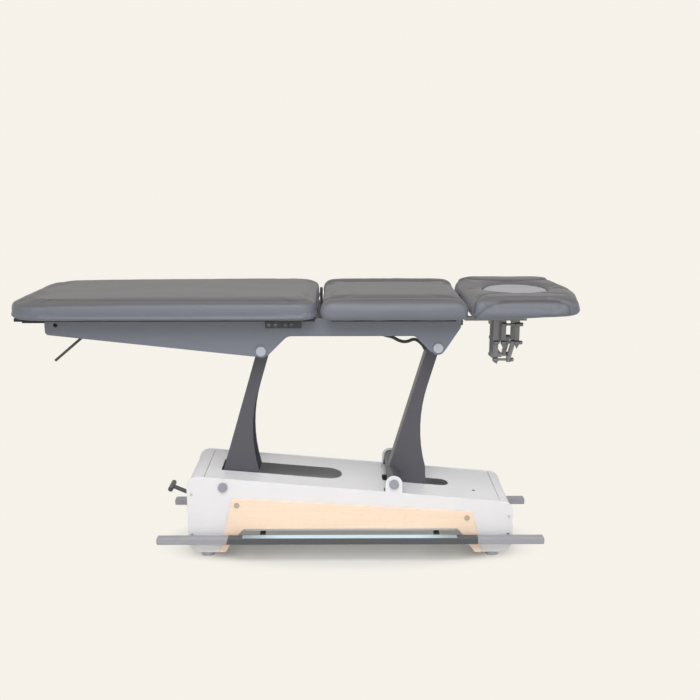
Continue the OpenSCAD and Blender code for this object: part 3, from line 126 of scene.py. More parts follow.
def makeStudio():
    scene.view_settings.view_transform = "Standard"
    world = bpy.data.worlds.new("studioWorld")
    scene.world = world
    world.use_nodes = True
    tree = world.node_tree
    tree.nodes.clear()
    out = addNode(tree, "OutputWorld")
    mix = addNode(tree, "MixShader")
    soft = addNode(tree, "Background", Strength=studio["worldStrength"])
    soft.inputs["Color"].default_value = (0.96, 0.98, 1.0, 1)
    seen = addNode(tree, "Background", Strength=1.0)
    seen.inputs["Color"].default_value = (*studio["backdrop"], 1)
    linkNodes(tree, (anySeenRay(tree), mix.inputs[0]), (soft.outputs[0], mix.inputs[1]),
              (seen.outputs[0], mix.inputs[2]), (mix.outputs[0], out.inputs[0]))

    for name, place, aim, size, power in studio["lamps"]:
        data = bpy.data.lights.new(name, "AREA")
        data.size = size
        data.energy = power
        lamp = bpy.data.objects.new(name, data)
        scene.collection.objects.link(lamp)
        lamp.location = place
        lamp.rotation_euler = (Vector(aim) - Vector(place)).to_track_quat("-Z", "Y").to_euler()

    bm = bmesh.new()
    bmesh.ops.create_grid(bm, x_segments=8, y_segments=8, size=studio["floorSize"] / 2)
    mesh = bpy.data.meshes.new("floor")
    bm.to_mesh(mesh)
    bm.free()
    floor = bpy.data.objects.new("floor", mesh)
    scene.collection.objects.link(floor)
    mat = bpy.data.materials.new("floorPaper")
    mat.use_nodes = True
    tree = mat.node_tree
    tree.nodes.clear()
    out = addNode(tree, "OutputMaterial")
    lit = addNode(tree, "BsdfDiffuse")
    lit.inputs["Color"].default_value = (*studio["floor"], 1)
    seen = addNode(tree, "Emission", Strength=1.0)
    seen.inputs["Color"].default_value = (*studio["backdrop"], 1)
    coord = addNode(tree, "TexCoord")
    half = studio["shadowHalf"]
    stretch = addNode(tree, "Mapping", Scale=[1 / v for v in half],
                      Location=[-c / v for c, v in zip(studio["shadowCentre"], half)])
    away = addNode(tree, "VectorMath", operation="LENGTH")
    cleared = softStep(tree, away.outputs["Value"], studio["nearShare"], studio["farShare"],
                       studio["shadowFill"])
    both = addNode(tree, "Math", operation="MULTIPLY")
    mix = addNode(tree, "MixShader")
    linkNodes(tree, (coord.outputs["Object"], stretch.inputs[0]), (stretch.outputs[0], away.inputs[0]),
              (cleared, both.inputs[0]), (anySeenRay(tree), both.inputs[1]),
              (both.outputs[0], mix.inputs[0]), (lit.outputs[0], mix.inputs[1]),
              (seen.outputs[0], mix.inputs[2]), (mix.outputs[0], out.inputs[0]))
    mesh.materials.append(mat)


makeCamera()
makeStudio()
print("camera and studio ready")


# finishes
vinyl = {
    "cloudScale": 5.0,
    "cellScale": 620.0,
    "fineScale": 340.0,
    "shadeShare": 0.93,          # the clouds' darker colour, as a share of the main one
    "paintedLightFaceUp": (0.2, 0.85),       # painted light: upward share of the normal, the bluer side colour below, the top colour above
    "foldShadeShare": 0.22,           # painted shade: colour in the bottom of a fold, seam or join
    # painted shade along the leg cushion's seam: its colour share and its width
    "seamShare": 0.6,
    "seamWidth": (0.0006, 0.0018),
    "seamEnd": (0.1, 0.45),      # no painted seam shade on the end that faces the head
    "rough": (0.44, 0.62),
}
wood = {
    "dark": (0.83, 0.63, 0.465),
    "light": (0.93, 0.745, 0.59),
    "fleck": (0.66, 0.46, 0.27),
    "fleckRange": (0.56, 0.68),
    "fleckStrength": 0.28,
    "grainStretch": (1.6, 8.0, 46.0),
    "fleckStretch": (26.0, 200.0, 240.0),
    "edge": 0.0015,
}
strip = {
    "body": (0.35, 0.42, 0.46),
    "glow": (0.62, 0.86, 1.0),
    "strength": 0.44,
    "fade": 0.16,        # length over which each end dims
}


def newFinish(name):
    mat = bpy.data.materials.new(name)
    mat.use_nodes = True
    tree = mat.node_tree
    shader = tree.nodes["Principled BSDF"]
    coord = addNode(tree, "TexCoord")
    return mat, tree, shader, coord.outputs


def darker(colour, share):
    return tuple(c * share for c in colour)


def blendColours(tree, factor, low, high):    # low and high are colours or outputs of nodes
    mix = addNode(tree, "Mix", data_type="RGBA")
    for socket, value in (("A", low), ("B", high)):
        if isinstance(value, tuple):
            mix.inputs[socket].default_value = (*value, 1)
        else:
            tree.links.new(value, mix.inputs[socket])
    tree.links.new(factor, mix.inputs["Factor"])
    return mix.outputs["Result"]


def mapTo(tree, value, lo, hi):
    ramp = addNode(tree, "MapRange")
    ramp.inputs["To Min"].default_value = lo
    ramp.inputs["To Max"].default_value = hi
    tree.links.new(value, ramp.inputs["Value"])
    return ramp.outputs[0]


def axisDistance(tree, vector, axis, centre):    # how far a place is from a centre, along one axis
    split = addNode(tree, "SeparateXYZ")
    off = addNode(tree, "Math", operation="SUBTRACT")
    off.inputs[1].default_value = centre
    size = addNode(tree, "Math", operation="ABSOLUTE")
    linkNodes(tree, (vector, split.inputs[0]), (split.outputs[axis], off.inputs[0]),
              (off.outputs[0], size.inputs[0]))
    return size.outputs[0]


def paintFinish(name, colour, rough=0.42, grain=0.06, edge=0.0012):
    mat, tree, shader, coords = newFinish(name)
    cloud = addNode(tree, "TexNoise", Scale=9.0, Detail=3.0)
    peel = addNode(tree, "TexNoise", Scale=1400.0, Detail=2.0)
    roundEdge = addNode(tree, "Bevel", samples=4, Radius=edge)
    bump = addNode(tree, "Bump", Strength=grain, Distance=0.0004)
    for node in (cloud, peel):
        tree.links.new(coords["Object"], node.inputs["Vector"])
    tint = blendColours(tree, cloud.outputs[0], darker(colour, 0.94), colour)
    linkNodes(tree, (tint, shader.inputs["Base Color"]),
              (mapTo(tree, cloud.outputs[0], rough - 0.05, rough + 0.07), shader.inputs["Roughness"]),
              (peel.outputs[0], bump.inputs["Height"]), (roundEdge.outputs[0], bump.inputs["Normal"]),
              (bump.outputs[0], shader.inputs["Normal"]))
    return mat


def brushedFinish(name, colour, rough):
    mat, tree, shader, coords = newFinish(name)
    shader.inputs["Metallic"].default_value = 1.0
    move = addNode(tree, "Mapping", Scale=(1.0, 60.0, 60.0))
    lines = addNode(tree, "TexNoise", Scale=14.0, Detail=6.0)
    bump = addNode(tree, "Bump", Strength=0.08, Distance=0.0003)
    tint = blendColours(tree, lines.outputs[0], darker(colour, 0.86), colour)
    linkNodes(tree, (coords["Object"], move.inputs[0]), (move.outputs[0], lines.inputs["Vector"]),
              (tint, shader.inputs["Base Color"]),
              (mapTo(tree, lines.outputs[0], rough - 0.08, rough + 0.12), shader.inputs["Roughness"]),
              (lines.outputs[0], bump.inputs["Height"]), (bump.outputs[0], shader.inputs["Normal"]))
    return mat


def vinylFinish(name, colour, sideLightColour, seamZ=None):
    mat, tree, shader, coords = newFinish(name)
    shader.inputs["Specular IOR Level"].default_value = 0.42
    shader.inputs["Sheen Weight"].default_value = 0.08
    cloud = addNode(tree, "TexNoise", Scale=vinyl["cloudScale"], Detail=4.0)
    cells = addNode(tree, "TexVoronoi", Scale=vinyl["cellScale"], feature="DISTANCE_TO_EDGE")
    fine = addNode(tree, "TexNoise", Scale=vinyl["fineScale"], Detail=4.0)
    grain = addNode(tree, "Bump", Strength=0.22, Distance=0.0003)
    soft = addNode(tree, "Bump", Strength=0.12, Distance=0.0006)
    for node in (cloud, cells, fine):
        tree.links.new(coords["Object"], node.inputs["Vector"])
    facing = addNode(tree, "SeparateXYZ")
    tree.links.new(coords["Normal"], facing.inputs[0])
    tops = blendColours(tree, cloud.outputs[0], darker(colour, vinyl["shadeShare"]), colour)
    sides = blendColours(tree, cloud.outputs[0], darker(sideLightColour, vinyl["shadeShare"]), sideLightColour)
    # painted light and sheen: faces that look sideways take the bluer side colour, tops the top colour
    tint = blendColours(tree, softStep(tree, facing.outputs["Z"], *vinyl["paintedLightFaceUp"]), sides, tops)
    # painted shade in creases, seams and joins, read from the fold attribute
    creaseShade = addNode(tree, "Attribute", attribute_name="fold")
    tint = blendColours(tree, creaseShade.outputs["Fac"], tint, darker(colour, vinyl["foldShadeShare"]))
    # painted shade: a dark line along the seam's height
    if seamZ is not None:
        offSeam = softStep(tree, axisDistance(tree, coords["Object"], "Z", seamZ), *vinyl["seamWidth"])
        headEnd = softStep(tree, facing.outputs["X"], *vinyl["seamEnd"])
        plain = addNode(tree, "Math", operation="MAXIMUM")
        linkNodes(tree, (headEnd, plain.inputs[0]), (offSeam, plain.inputs[1]))
        tint = blendColours(tree, plain.outputs[0], darker(colour, vinyl["seamShare"]), tint)
    linkNodes(tree, (tint, shader.inputs["Base Color"]),
              (mapTo(tree, fine.outputs[0], *vinyl["rough"]), shader.inputs["Roughness"]),
              (cells.outputs[0], grain.inputs["Height"]), (fine.outputs[0], soft.inputs["Height"]),
              (grain.outputs[0], soft.inputs["Normal"]), (soft.outputs[0], shader.inputs["Normal"]))
    return mat


def beechFinish(name):
    mat, tree, shader, coords = newFinish(name)
    shader.inputs["Coat Weight"].default_value = 0.12
    shader.inputs["Coat Roughness"].default_value = 0.35
    shader.inputs["Roughness"].default_value = 0.5
    grainMap = addNode(tree, "Mapping", Scale=wood["grainStretch"])
    rings = addNode(tree, "TexNoise", Scale=3.2, Detail=5.0, Distortion=0.6)
    flecks = addNode(tree, "Mapping", Scale=wood["fleckStretch"])
    pores = addNode(tree, "TexNoise", Scale=1.6, Detail=3.0)
    mask = addNode(tree, "MapRange")
    mask.inputs["From Min"].default_value = wood["fleckRange"][0]
    mask.inputs["From Max"].default_value = wood["fleckRange"][1]
    part = addNode(tree, "Math", operation="MULTIPLY")
    part.inputs[1].default_value = wood["fleckStrength"]
    bump = addNode(tree, "Bump", Strength=0.12, Distance=0.0003)
    roundEdge = addNode(tree, "Bevel", samples=4, Radius=wood["edge"])
    plain = blendColours(tree, rings.outputs[0], wood["dark"], wood["light"])
    linkNodes(tree, (coords["Object"], grainMap.inputs[0]), (grainMap.outputs[0], rings.inputs["Vector"]),
              (coords["Object"], flecks.inputs[0]), (flecks.outputs[0], pores.inputs["Vector"]),
              (pores.outputs[0], mask.inputs["Value"]), (mask.outputs[0], part.inputs[0]),
              (blendColours(tree, part.outputs[0], plain, wood["fleck"]), shader.inputs["Base Color"]),
              (pores.outputs[0], bump.inputs["Height"]), (roundEdge.outputs[0], bump.inputs["Normal"]),
              (bump.outputs[0], shader.inputs["Normal"]))
    return mat


def plateFinish(name, faceColour, sideShadeColour):    # steel plates: rubbed flat faces; every face not turned along Y gets a dark colour, painted shade and dark reflection
    mat, tree, shader, coords = newFinish(name)
    shader.inputs["Metallic"].default_value = 0.35
    rub = addNode(tree, "TexNoise", Scale=90.0, Detail=4.0)
    bump = addNode(tree, "Bump", Strength=0.1, Distance=0.0003)
    worn = blendColours(tree, rub.outputs[0], darker(faceColour, 0.8), faceColour)
    # painted shade and reflection: faces not turned along Y take the dark side colour
    onFace = softStep(tree, axisDistance(tree, coords["Normal"], "Y", 0.0), 0.45, 0.9)
    linkNodes(tree, (coords["Object"], rub.inputs["Vector"]),
              (blendColours(tree, onFace, sideShadeColour, worn), shader.inputs["Base Color"]),
              (mapTo(tree, rub.outputs[0], 0.3, 0.45), shader.inputs["Roughness"]),
              (rub.outputs[0], bump.inputs["Height"]), (bump.outputs[0], shader.inputs["Normal"]))
    return mat


def lightFinish(name, x0, x1):
    mat, tree, shader, coords = newFinish(name)
    shader.inputs["Base Color"].default_value = (*strip["body"], 1)
    shader.inputs["Roughness"].default_value = 0.4
    shader.inputs["Emission Color"].default_value = (*strip["glow"], 1)
    reach = (x1 - x0) / 2
    away = axisDistance(tree, coords["Object"], "X", (x0 + x1) / 2)
    glow = softStep(tree, away, reach - strip["fade"], reach, strip["strength"], 0.0)
    tree.links.new(glow, shader.inputs["Emission Strength"])
    return mat


stripLow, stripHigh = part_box("light_strip_near")
finishes = {
    "plateWhite": paintFinish("plateWhite", (0.765, 0.755, 0.77), rough=0.38),
    "coverGrey": paintFinish("coverGrey", (0.78, 0.77, 0.785), rough=0.36),
    "beech": beechFinish("beech"),
    "capGrey": paintFinish("capGrey", (0.295, 0.298, 0.34), rough=0.3, edge=0.0018),
    "capPale": paintFinish("capPale", (0.455, 0.465, 0.53), rough=0.3, edge=0.0018),
    "capWarm": paintFinish("capWarm", (0.46, 0.38, 0.305), rough=0.34, edge=0.0012),
    "barEnd": paintFinish("barEnd", (0.33, 0.33, 0.36), rough=0.36, edge=0.003),
    "barMiddle": paintFinish("barMiddle", (0.075, 0.08, 0.088), rough=0.42, edge=0.003),
    "steelDark": paintFinish("steelDark", (0.055, 0.056, 0.062), rough=0.4),
    "steelBright": brushedFinish("steelBright", (0.62, 0.62, 0.64), 0.3),
    "rubberBlack": paintFinish("rubberBlack", (0.028, 0.028, 0.03), rough=0.7, grain=0.3),
    "padWhite": paintFinish("padWhite", (0.62, 0.62, 0.62), rough=0.5),
    "plasticBlack": paintFinish("plasticBlack", (0.05, 0.051, 0.056), rough=0.46, grain=0.2),
    "panelDark": paintFinish("panelDark", (0.045, 0.048, 0.056), rough=0.4, grain=0.15),
    "armSlate": paintFinish("armSlate", (0.080, 0.081, 0.096), rough=0.44),
    "frameGrey": paintFinish("frameGrey", (0.185, 0.198, 0.24), rough=0.42),
    "linkGrey": plateFinish("linkGrey", (0.25, 0.25, 0.262), (0.035, 0.035, 0.04)),
    "buttonGrey": paintFinish("buttonGrey", (0.085, 0.088, 0.098), rough=0.35),
    "iconPale": paintFinish("iconPale", (0.55, 0.56, 0.58), rough=0.5, edge=0.0002),
    "boardBlack": paintFinish("boardBlack", (0.022, 0.022, 0.024), rough=0.6, grain=0.25),
    "lightStrip": lightFinish("lightStrip", stripLow[0], stripHigh[0]),
}
nodeFinish = {
    "plateWhite": "side_plate_near side_plate_far",
    "coverGrey": "top_cover foot_end_cover head_end_cover",
    "beech": "wood_panel_near wood_panel_far",
    "capGrey": "lower_shaft_caps",
    "capPale": "upper_shaft_caps",
    "capWarm": "panel_caps",
    "barEnd": "bar_sleeves_near bar_sleeves_far",
    "barMiddle": "foot_bar_near foot_bar_far",
    "steelDark": "chassis wheel_rocker_foot wheel_rocker_head pedal frame_crossbars release_lever "
                 "conduit_gland",
    "steelBright": "case_screws lower_shafts upper_shafts actuator_rod gas_spring_rod",
    "rubberBlack": "wheels_foot wheels_head",
    "padWhite": "foot_pads",
    "plasticBlack": "control_box mains_inlet actuator_housing foot_arm_bushes head_arm_bushes "
                    "gas_spring_cylinder cable_conduit",
    "panelDark": "control_panels",
    "armSlate": "foot_arm head_arm",
    "frameGrey": "frame_plate_near frame_plate_far",
    "linkGrey": "head_carrier swing_link_near swing_link_far head_yoke",
    "buttonGrey": "up_button down_button leg_button head_button",
    "boardBlack": "mid_board leg_board head_board leg_rails",
    "lightStrip": "light_strip_near light_strip_far",
}
for finish, names in nodeFinish.items():
    for name in names.split():
        for slotOfNode in nodes[name].material_slots:
            slotOfNode.material = finishes[finish]
print("finishes on", sum(len(v.split()) for v in nodeFinish.values()), "nodes")


# soft parts
cushion = {
    "colour": (0.093, 0.090, 0.096),
    # the side colours are painted light: a bluer tint for faces that look sideways, for how light and sheen
    # fall on them
    "sideLightColour": (0.135, 0.144, 0.172),
    "plugColour": (0.31, 0.303, 0.322),
    "plugSideLightColour": (0.20, 0.205, 0.22),
    "voxel": 0.006,
    "cloth": {"quality": 4, "mass": 0.25, "tension_stiffness": 12, "compression_stiffness": 12,
              "shear_stiffness": 5, "bending_stiffness": 1.2, "use_pressure": True,
              "uniform_pressure_force": 4.0},
    "frames": 20,
    "cap": 0.007,          # the most that a place on the cover may swell
    "pinHeight": 0.012,    # the cover is held this far up from the board
    "relaxSteps": 4,
    # drawn in from the outline (share of the edge), height (share of the thickness)
    "profile": [(0.30, 0.0), (0.12, 0.07), (0.03, 0.24), (0.0, 0.48), (0.02, 0.70), (0.09, 0.86),
                (0.24, 0.965), (0.5, 1.0), (1.0, 1.03)],
    "rollProfile": [(0.36, 0.0), (0.15, 0.06), (0.04, 0.20), (0.0, 0.42), (0.04, 0.63), (0.14, 0.81),
                    (0.32, 0.93), (0.6, 1.0), (1.0, 1.02)],
    "bandProfile": [(0.26, 0.0), (0.10, 0.06), (0.02, 0.22), (0.0, 0.46), (0.015, 0.70), (0.06, 0.86),
                    (0.13, 0.93), (0.34, 0.985), (0.6, 1.01), (1.0, 1.04)],
}


def finishObject(bm, name, material, smooth=True):
    mesh = bpy.data.meshes.new(name)
    bm.to_mesh(mesh)
    bm.free()
    obj = bpy.data.objects.new(name, mesh)
    scene.collection.objects.link(obj)
    if material:
        mesh.materials.append(material)
    if smooth:
        for poly in mesh.polygons:
            poly.use_smooth = True
    return obj


def applyModifiers(obj):
    deps = bpy.context.evaluated_depsgraph_get()
    mesh = bpy.data.meshes.new_from_object(obj.evaluated_get(deps))
    old = obj.data
    obj.modifiers.clear()
    obj.data = mesh
    bpy.data.meshes.remove(old)


def outlinePad(bm, corners, radii, levels, zBottom, height, edge):
    verts = [bm.verts.new((x, y, zBottom)) for x, y in corners]
    bm.faces.new(verts)
    for vert, radius in zip(verts, radii):
        bmesh.ops.bevel(bm, geom=[vert], offset=radius, offset_type="OFFSET", affect="VERTICES", segments=9,
                        profile=0.5, material=-1)
    xs = [v.co.x for v in bm.verts]
    ys = [v.co.y for v in bm.verts]
    mid = Vector(((min(xs) + max(xs)) / 2, (min(ys) + max(ys)) / 2, 0))
    half = Vector(((max(xs) - min(xs)) / 2, (max(ys) - min(ys)) / 2, 1))
    face = bm.faces[:][0]
    done = Vector((1.0, 1.0, 1.0))
    for i, (inset, up) in enumerate(levels):
        want = Vector((1 - inset * edge[0] / half.x, 1 - inset * edge[1] / half.y, 1.0))
        if i:
            ring = bmesh.ops.extrude_face_region(bm, geom=[face])["geom"]
            moved = [g for g in ring if isinstance(g, bmesh.types.BMVert)]
            if i > 1:
                bmesh.ops.delete(bm, geom=[face], context="FACES_ONLY")
            face = [g for g in ring if isinstance(g, bmesh.types.BMFace)][0]
        else:
            moved = bm.verts[:]
        bmesh.ops.scale(bm, verts=moved, vec=(want.x / done.x, want.y / done.y, 1),
                        space=Matrix.Translation(-mid))
        lift = (up - (levels[i - 1][1] if i else 0)) * height
        bmesh.ops.translate(bm, verts=moved, vec=(0, 0, lift))
        done = want
    bmesh.ops.recalc_face_normals(bm, faces=bm.faces[:])


def swell(obj, pinTop):    # the cover blows up a little over its foam, held at the board
    rest = [v.co.copy() for v in obj.data.vertices]
    group = obj.vertex_groups.new(name="held")
    group.add([i for i, co in enumerate(rest) if co.z < pinTop], 1.0, "REPLACE")
    cloth = obj.modifiers.new("cloth", "CLOTH")
    for key, value in cushion["cloth"].items():
        setattr(cloth.settings, key, value)
    cloth.settings.vertex_group_mass = "held"
    cloth.settings.effector_weights.gravity = 0
    cloth.collision_settings.use_collision = False
    cloth.point_cache.frame_start = 1
    cloth.point_cache.frame_end = cushion["frames"]
    for step in range(1, cushion["frames"] + 1):
        scene.frame_set(step)
    deps = bpy.context.evaluated_depsgraph_get()
    grown = obj.evaluated_get(deps).data
    moved = [v.co.copy() for v in grown.vertices]
    obj.modifiers.clear()
    for vert, a, b in zip(obj.data.vertices, rest, moved):
        step = b - a
        if step.length > cushion["cap"]:
            step *= cushion["cap"] / step.length
        vert.co = a + step
    obj.vertex_groups.clear()
    scene.frame_set(1)


def fitOutline(obj, limits):    # the smoothing draws the edges in, so they go back out to the true outline
    for axis, (low, high) in enumerate(limits):
        values = [v.co[axis] for v in obj.data.vertices]
        least, most = min(values), max(values)
        middle, half = (least + most) / 2, (most - least) / 2
        for vert in obj.data.vertices:
            share = (vert.co[axis] - middle) / half
            gap = high - most if share > 0 else least - low
            vert.co[axis] += gap * abs(share) ** 3 * (1 if share > 0 else -1)


def creases(obj, shape):
    mesh = obj.data
    normals = [v.normal.copy() for v in mesh.vertices]
    # the fold attribute holds painted shade for creases, seams, joins and the plug's rim
    dark = mesh.attributes.new("fold", "FLOAT", "POINT")
    for vert, normal, shade in zip(mesh.vertices, normals, dark.data):
        move, shade.value = shape(vert.co, normal)
        vert.co += move


def hollow(distance, width):
    return math.exp(-(distance / width) ** 2)


def waves(place, steps):    # unevenness of the cover: how wide each wave is, how deep
    return sum(depth * noise.noise(place / size) for size, depth in steps)


def clamp(value):
    return min(max(value, 0.0), 1.0)


def lineDistance(x, y, points):    # distance from a place to a line of points, in the same plane
    best = 1.0
    for (ax, ay), (bx, by) in zip(points, points[1:]):
        dx, dy = bx - ax, by - ay
        t = clamp(((x - ax) * dx + (y - ay) * dy) / (dx * dx + dy * dy))
        best = min(best, math.hypot(x - ax - t * dx, y - ay - t * dy))
    return best


def finishPad(obj, material):
    sub = obj.modifiers.new("subdivision", "SUBSURF")
    sub.levels = 1
    sub.render_levels = 1
    for poly in obj.data.polygons:
        poly.use_smooth = True
    if not obj.data.materials:
        obj.data.materials.append(material)


def makeCushion(name, limits, corners, radii, zBottom, height, edge, shape, material, body, replaced, profile,
                cutters=()):
    bm = bmesh.new()
    outlinePad(bm, corners, radii, cushion[profile], zBottom, height, edge)
    obj = finishObject(bm, name, material)
    for cutter in cutters:
        cut = obj.modifiers.new("cut", "BOOLEAN")
        cut.operation = "DIFFERENCE"
        cut.object = cutter
        cut.solver = "EXACT"
    remesh = obj.modifiers.new("remesh", "REMESH")
    remesh.mode = "VOXEL"
    remesh.voxel_size = cushion["voxel"]
    remesh.use_smooth_shade = True
    applyModifiers(obj)
    relax = obj.modifiers.new("relax", "SMOOTH")
    relax.iterations = cushion["relaxSteps"]
    relax.factor = 0.5
    applyModifiers(obj)
    swell(obj, zBottom + cushion["pinHeight"])
    creases(obj, shape)
    fitOutline(obj, limits)
    finishPad(obj, material)
    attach(obj, body)
    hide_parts(*replaced)
    print("cushion", name, len(obj.data.polygons), "faces")


def rectangle(x0, x1, y0, y1):
    return [(x0, y0), (x1, y0), (x1, y1), (x0, y1)]


def boxOf(name):
    low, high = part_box(name)
    return low[0], high[0], low[1], high[1], low[2], high[2]


# leg cushion: a side band sewn to a flat top panel
legPad = {
    "grow": 0.004,
    "footRadius": 0.12,
    "endRadius": 0.062,
    "edge": (0.06, 0.06),
    "height": 0.0675,
    "seamShare": 0.93,
    "seamDepth": 0.0015,
    "seamWidth": 0.0035,
    "waves": [(0.11, 0.0011), (0.03, 0.0003)],
    "footDrop": 0.009,      # the top falls a little towards the foot end
    "dropReach": 0.80,
}
legLow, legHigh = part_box("leg_cushion")
legSeamZ = legLow[2] + legPad["seamShare"] * (legHigh[2] - legLow[2])
vinylPlain = vinylFinish("vinylGrey", cushion["colour"], cushion["sideLightColour"])
vinylSeamed = vinylFinish("vinylSeamed", cushion["colour"], cushion["sideLightColour"], seamZ=legSeamZ)
plugVinyl = vinylFinish("vinylLight", cushion["plugColour"], cushion["plugSideLightColour"])


def legShape(place, normal):
    side = (1 - abs(normal.z)) * clamp(1 - 2 * normal.x)
    seam = -legPad["seamDepth"] * hollow(place.z - legSeamZ, legPad["seamWidth"]) * side
    wave = waves(place, legPad["waves"])
    toFoot = max(0.0, 1 - (place.x - legLow[0]) / legPad["dropReach"])
    drop = legPad["footDrop"] * toFoot ** 2 * (place.z - legLow[2]) / (legHigh[2] - legLow[2])
    return normal * (seam + wave) - Vector((0, 0, drop)), 0.0


def makeLegCushion():
    x0, x1, y0, y1, z0, z1 = boxOf("leg_cushion")
    g = legPad["grow"]
    makeCushion("legCushion", ((x0, x1), (y0, y1)), rectangle(x0 + g, x1 - g, y0 + g, y1 - g),
                [legPad["footRadius"], legPad["endRadius"], legPad["endRadius"], legPad["footRadius"]],
                z0, legPad["height"], legPad["edge"], legShape, vinylSeamed, "leg_section", ["leg_cushion"],
                "bandProfile")


makeLegCushion()

# middle cushion and its bolsters
midPad = {
    "grow": 0.003,
    "gap": 0.001,
    "radius": 0.03,
    "edge": (0.04, 0.022),
    "height": 0.0655,
    "waves": [(0.09, 0.001), (0.025, 0.0003)],
    "joinY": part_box("mid_cushion")[1][1],    # where the panel meets a bolster
    "joinWidth": 0.006,
    "joinShade": 0.8,
    "bolsterHeight": 0.071,
    "bolsterRadius": 0.03,
    "bolsterEdge": (0.058, 0.037),
    "pipeY": 0.262,
    "pipeDepth": 0.0022,
    "pipeWidth": 0.005,
    "pipeShade": 0.5,
    "pipeShadeWidth": 0.0038,
    "puckers": [(0.045, 0.0013)],
    "bolsterWaves": [(0.022, 0.0003)],
}


def jointShade(place, normal):    # the join between the middle panel and a bolster
    line = hollow(abs(place.y) - midPad["joinY"], midPad["joinWidth"])
    return midPad["joinShade"] * line * max(normal.z, 0.3)


def midShape(place, normal):
    return normal * waves(place, midPad["waves"]), jointShade(place, normal)


def bolsterShape(place, normal):
    top = max(normal.z, 0.0)
    off = abs(place.y) - midPad["pipeY"]
    seam = -midPad["pipeDepth"] * hollow(off, midPad["pipeWidth"]) * top
    pucker = waves(Vector((place.x, 0.0, place.z)), midPad["puckers"])
    shade = max(midPad["pipeShade"] * hollow(off, midPad["pipeShadeWidth"]) * top, jointShade(place, normal))
    return normal * (seam + pucker + waves(place, midPad["bolsterWaves"])), shade


def makeMidCushions():
    g, gap = midPad["grow"], midPad["gap"]
    x0, x1, y0, y1, z0, z1 = boxOf("mid_cushion")
    makeCushion("midCushion", ((x0, x1), (y0 + gap, y1 - gap)), rectangle(x0 + g, x1 - g, y0 + g, y1 - g),
                [midPad["radius"]] * 4, z0, midPad["height"], midPad["edge"], midShape, vinylPlain, "frame",
                ["mid_cushion"], "profile")
    innerY = y1
    x0, x1, y0, y1, z0, z1 = boxOf("mid_bolsters")
    for side, label in ((-1, "Near"), (1, "Far")):
        low, high = sorted((side * (innerY + gap), side * y1))
        makeCushion("midBolster" + label, ((x0, x1), (low, high)),
                    rectangle(x0 + g, x1 - g, low + gap, high - gap), [midPad["bolsterRadius"]] * 4, z0,
                    midPad["bolsterHeight"], midPad["bolsterEdge"], bolsterShape, vinylPlain, "frame",
                    ["mid_bolsters"], "rollProfile")


makeMidCushions()

# head cushion with its hole, and the face plug
headPad = {
    "grow": 0.003,
    "edge": (0.046, 0.046),
    "height": 0.071,
    # where the side lobe meets the middle: along the length, out from the middle (shares of the cushion)
    "foldShares": [(0.0, 0.97), (0.06, 0.80), (0.14, 0.66), (0.26, 0.56), (0.42, 0.525), (0.62, 0.525),
                   (0.78, 0.58), (0.89, 0.68), (1.0, 0.74)],
    # seam that frames the lobe's outer face: along the length, up from the board (shares of the cushion)
    "seamShares": [(0.03, 0.10), (0.075, 0.40), (0.13, 0.66), (0.19, 0.80), (0.28, 0.90), (0.48, 0.94),
                   (0.70, 0.92), (0.775, 0.84), (0.807, 0.70), (0.81, 0.22)],
    "foldDepth": 0.0078,
    "foldWidth": 0.0075,
    "foldShade": 0.75,
    "foldShadeWidth": 0.0045,
    "foldAbove": 0.02,       # the fold starts this far up from the board
    "foldFacing": (0.7, 0.2),    # share of its depth on faces that look along the table, and sideways
    "seamDepth": 0.003,
    "seamWidth": 0.0042,
    "seamShade": 0.45,
    "seamShadeWidth": 0.0034,
    "seamFrom": 0.235,       # the seam shows only on the lobe's outer face
    "seamBlend": 0.01,
    "lobeRise": 0.003,
    "lobeBlend": 0.03,
    "bottomRise": 0.02,      # the lobe's underside climbs towards the far end
    "bottomFrom": (0.06, 0.18),
    "bottomBlend": 0.05,
    "bottomHeight": 0.035,
    "waves": [(0.08, 0.001), (0.024, 0.0003)],
    "ends": [(0.905, -1.0, 0.05), (0.95, -0.6, 0.09), (1.0, -0.2, 0.1), (1.0, 0.2, 0.1), (0.95, 0.6, 0.09),
             (0.905, 1.0, 0.05)],
    "startRadius": 0.035,
}
plugPad = {
    "gap": 0.0015,
    "voxel": 0.005,
    "segments": 72,
    # raised by, drawn in by
    "steps": [(0.05, 0.0), (0.010, 0.0015), (0.006, 0.004), (0.004, 0.009), (0.0022, 0.02), (0.0018, 0.04)],
    "wave": [(0.05, 0.0008)],
    "grooveY": 0.02,
    "grooveBend": 2.2,
    "grooveWidth": 0.007,
    "grooveDepth": 0.0028,
    "grooveShade": 0.3,
    "rimFrom": 0.965,        # share of the radius where the rim starts to darken
    "rimReach": 0.03,
    "rimShade": 0.8,
}


def ellipseBlock(name, centre, radii, z0, z1):
    bm = bmesh.new()
    bmesh.ops.create_cone(bm, cap_ends=True, segments=plugPad["segments"], radius1=1, radius2=1,
                          depth=z1 - z0)
    bmesh.ops.scale(bm, verts=bm.verts[:], vec=(radii[0], radii[1], 1))
    bmesh.ops.translate(bm, verts=bm.verts[:], vec=(centre[0], centre[1], (z0 + z1) / 2))
    return finishObject(bm, name, None)


